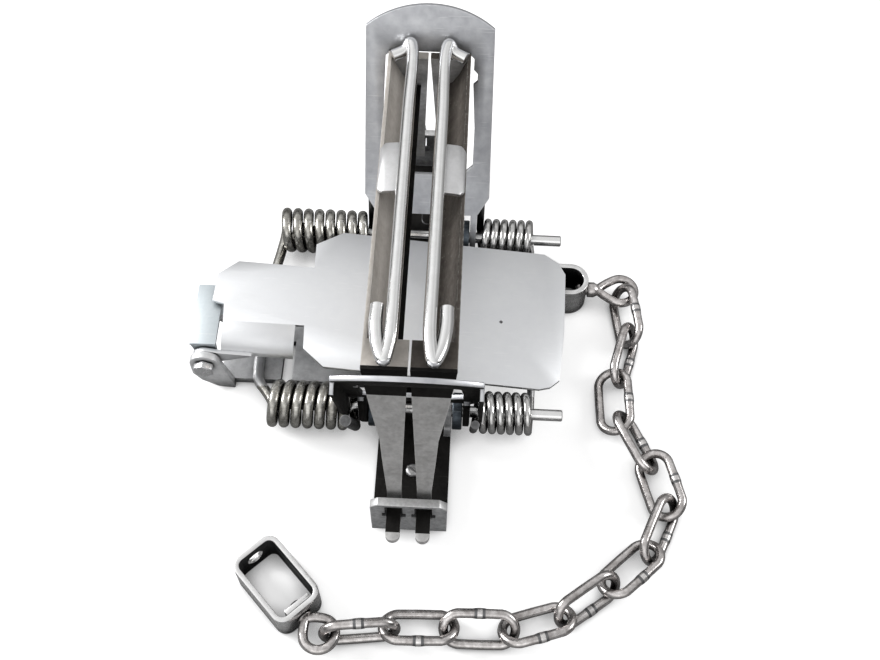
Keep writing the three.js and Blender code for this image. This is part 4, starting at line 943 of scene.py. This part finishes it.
class TRAP_OT_stage(bpy.types.Operator):
    """Pale floor, soft lamps, plain surroundings and the camera."""

    bl_idname = "trap.stage"
    bl_label = "Stage"

    def floor(self, colour):
        """White to the camera, with a painted contact shadow near the trap, and painted darker where the
        metal reflects it.
        """
        only()
        bpy.ops.mesh.primitive_plane_add(size=6, location=(0, 0, 0))
        floor = named("floor")
        bpy.ops.object.mode_set(mode="EDIT")
        bpy.ops.mesh.subdivide(number_cuts=3)
        bpy.ops.object.mode_set(mode="OBJECT")
        made = bpy.data.materials.new("Pale floor")
        made.use_nodes = True
        tree = made.node_tree
        shader = tree.nodes["Principled BSDF"]
        shader.inputs["Roughness"].default_value = 0.9
        shader.inputs["Emission Strength"].default_value = 1.0
        path = node(tree, "ShaderNodeLightPath")
        # Painted shadow: ambient occlusion darkens the floor's colour and glow near the trap; glossy rays see
        # a darker floor, as a painted reflection
        hidden = node(tree, "ShaderNodeAmbientOcclusion", {"samples": 16}, {"Distance": 0.012})
        open_air = node(tree, "ShaderNodeMapRange", values={"From Min": 0.15, "From Max": 0.7})
        glow = node(tree, "ShaderNodeMath", {"operation": "MULTIPLY"}, {1: 0.6})
        dimmed = node(tree, "ShaderNodeMapRange", values={"To Min": 1.0, "To Max": 0.3})
        shown = node(tree, "ShaderNodeMath", {"operation": "MULTIPLY"})
        lift = node(tree, "ShaderNodeMath", {"operation": "MULTIPLY"})
        ground = node(tree, "ShaderNodeMix", {"data_type": "RGBA"})
        ground.inputs["A"].default_value = (*(0.08 * tone for tone in colour), 1)
        ground.inputs["B"].default_value = (*colour, 1)
        joined(tree, (hidden, "AO", open_air, "Value"), (path, "Is Camera Ray", lift, 0),
               (open_air, "Result", glow, 0), (glow, 0, lift, 1), (path, "Is Glossy Ray", dimmed, "Value"),
               (open_air, "Result", shown, 0), (dimmed, "Result", shown, 1), (shown, 0, ground, "Factor"),
               (ground, "Result", shader, "Base Color"), (lift, 0, shader, "Emission Color"))
        floor.data.materials.append(made)

    def surroundings(self):
        """Plain room, brighter overhead and at the left, with a window and a doorway for the metal."""
        world = bpy.data.worlds.new("Plain room")
        bpy.context.scene.world = world
        world.use_nodes = True
        tree = world.node_tree
        tree.nodes.clear()
        out = node(tree, "ShaderNodeOutputWorld")
        sky = node(tree, "ShaderNodeBackground")
        path = node(tree, "ShaderNodeLightPath")
        seen = node(tree, "ShaderNodeMath", {"operation": "MAXIMUM"})
        place = node(tree, "ShaderNodeTexCoord")
        parts = node(tree, "ShaderNodeSeparateXYZ")
        high = node(tree, "ShaderNodeMapRange", {"interpolation_type": "SMOOTHSTEP"},
                    {"From Min": 0.1, "From Max": 0.7, "To Min": 0.05, "To Max": 1.06})
        left = node(tree, "ShaderNodeMapRange", values={"From Min": -1.0, "To Min": 1.45, "To Max": 0.4})
        side = node(tree, "ShaderNodeVectorMath", {"operation": "DOT_PRODUCT"}, {1: (0.79, 0.58, 0.2)})
        window = node(tree, "ShaderNodeMapRange", {"interpolation_type": "SMOOTHSTEP"},
                      {"From Min": 0.7, "To Max": 0.4})
        front = node(tree, "ShaderNodeVectorMath", {"operation": "DOT_PRODUCT"}, {1: (0.0, -0.97, 0.25)})
        doorway = node(tree, "ShaderNodeMapRange", {"interpolation_type": "SMOOTHSTEP"},
                       {"From Min": 0.6, "To Max": 0.8})
        overhead = node(tree, "ShaderNodeMath", {"operation": "MULTIPLY"})
        openings = node(tree, "ShaderNodeMath", {"operation": "ADD"})
        mirrored = node(tree, "ShaderNodeMath", {"operation": "ADD"})
        pick_one = node(tree, "ShaderNodeMix", {"data_type": "FLOAT"})
        only_camera = node(tree, "ShaderNodeMix", {"data_type": "FLOAT"})
        pick_one.inputs["A"].default_value = 0.55
        only_camera.inputs["B"].default_value = 1.0
        joined(tree, (place, "Generated", parts, 0), (parts, "Z", high, "Value"),
               (parts, "X", left, "Value"), (place, "Generated", side, 0), (side, "Value", window, "Value"),
               (high, "Result", overhead, 0), (left, "Result", overhead, 1), (overhead, 0, mirrored, 0),
               (place, "Generated", front, 0), (front, "Value", doorway, "Value"),
               (window, "Result", openings, 0), (doorway, "Result", openings, 1),
               (openings, 0, mirrored, 1), (path, "Is Glossy Ray", seen, 0),
               (path, "Is Transmission Ray", seen, 1), (seen, 0, pick_one, "Factor"),
               (mirrored, 0, pick_one, "B"), (path, "Is Camera Ray", only_camera, "Factor"),
               (pick_one, "Result", only_camera, "A"), (only_camera, "Result", sky, "Strength"),
               (sky, 0, out, 0))

    def lamp(self, name, power, size, place, target=(0, 0, 30)):
        """A square soft lamp that faces the trap."""
        data = bpy.data.lights.new(name, "AREA")
        data.energy = power
        data.size = size * MM
        lamp = bpy.data.objects.new(name, data)
        bpy.context.scene.collection.objects.link(lamp)
        lamp.location = mm(*place)
        lamp.rotation_euler = (mm(*target) - mm(*place)).to_track_quat("-Z", "Y").to_euler()

    def execute(self, context):
        scene = context.scene
        stage = scene.trap_stage
        self.floor(tuple(stage.floor))
        self.surroundings()
        self.lamp("Key lamp", stage.key_power, 300, (-700, 150, 380))
        self.lamp("Fill lamp", stage.fill_power, 250, (600, 0, 350))
        data = bpy.data.cameras.new("Camera")
        data.lens = stage.lens
        data.sensor_width = 36
        data.clip_start = 0.01
        camera = bpy.data.objects.new("Camera", data)
        scene.collection.objects.link(camera)
        scene.camera = camera
        turn, down, roll = (math.radians(a) for a in CAMERA_ANGLES)
        ahead = Vector((math.sin(turn) * math.cos(down), math.cos(turn) * math.cos(down), -math.sin(down)))
        right = Vector((math.cos(turn), -math.sin(turn), 0))
        up = right.cross(ahead)
        across = math.cos(roll) * right + math.sin(roll) * up
        upright = math.cos(roll) * up - math.sin(roll) * right
        facing = Matrix((across, upright, -ahead)).transposed().to_4x4()
        camera.matrix_world = Matrix.Translation(mm(*CAMERA_PLACE)) @ facing
        scene.view_settings.view_transform = "Standard"
        return {"FINISHED"}


class TRAP_PT_panel(bpy.types.Panel):
    """Sidebar panel that lists the trap's pieces and its stage."""

    bl_label = "Coil spring trap"
    bl_space_type = "VIEW_3D"
    bl_region_type = "UI"
    bl_category = "Trap"

    def draw(self, context):
        for name in ("edge", "main_wire", "side_wire", "chain_wire"):
            self.layout.prop(context.scene.trap_sizes, name)
        for name in ("floor", "key_power", "fill_power", "lens"):
            self.layout.prop(context.scene.trap_stage, name)
        for kind in OPERATORS:
            self.layout.operator(kind.bl_idname)


OPERATORS = (TRAP_OT_sheets, TRAP_OT_springs, TRAP_OT_rods, TRAP_OT_jaw_rods, TRAP_OT_chain,
             TRAP_OT_swivels, TRAP_OT_stage)
CLASSES = (TrapSizes, TrapStage, *OPERATORS, TRAP_PT_panel)


def register():
    """Register the settings, the operators and the panel."""
    for kind in CLASSES:
        bpy.utils.register_class(kind)
    bpy.types.Scene.trap_sizes = PointerProperty(type=TrapSizes)
    bpy.types.Scene.trap_stage = PointerProperty(type=TrapStage)


def unregister():
    """Take everything away again, in reverse order."""
    del bpy.types.Scene.trap_stage
    del bpy.types.Scene.trap_sizes
    for kind in reversed(CLASSES):
        bpy.utils.unregister_class(kind)


def main():
    """Run every operator in order."""
    register()
    only()
    for kind in OPERATORS:
        area, name = kind.bl_idname.split(".")
        getattr(getattr(bpy.ops, area), name)()
    only()


if __name__ == "__main__":
    main()
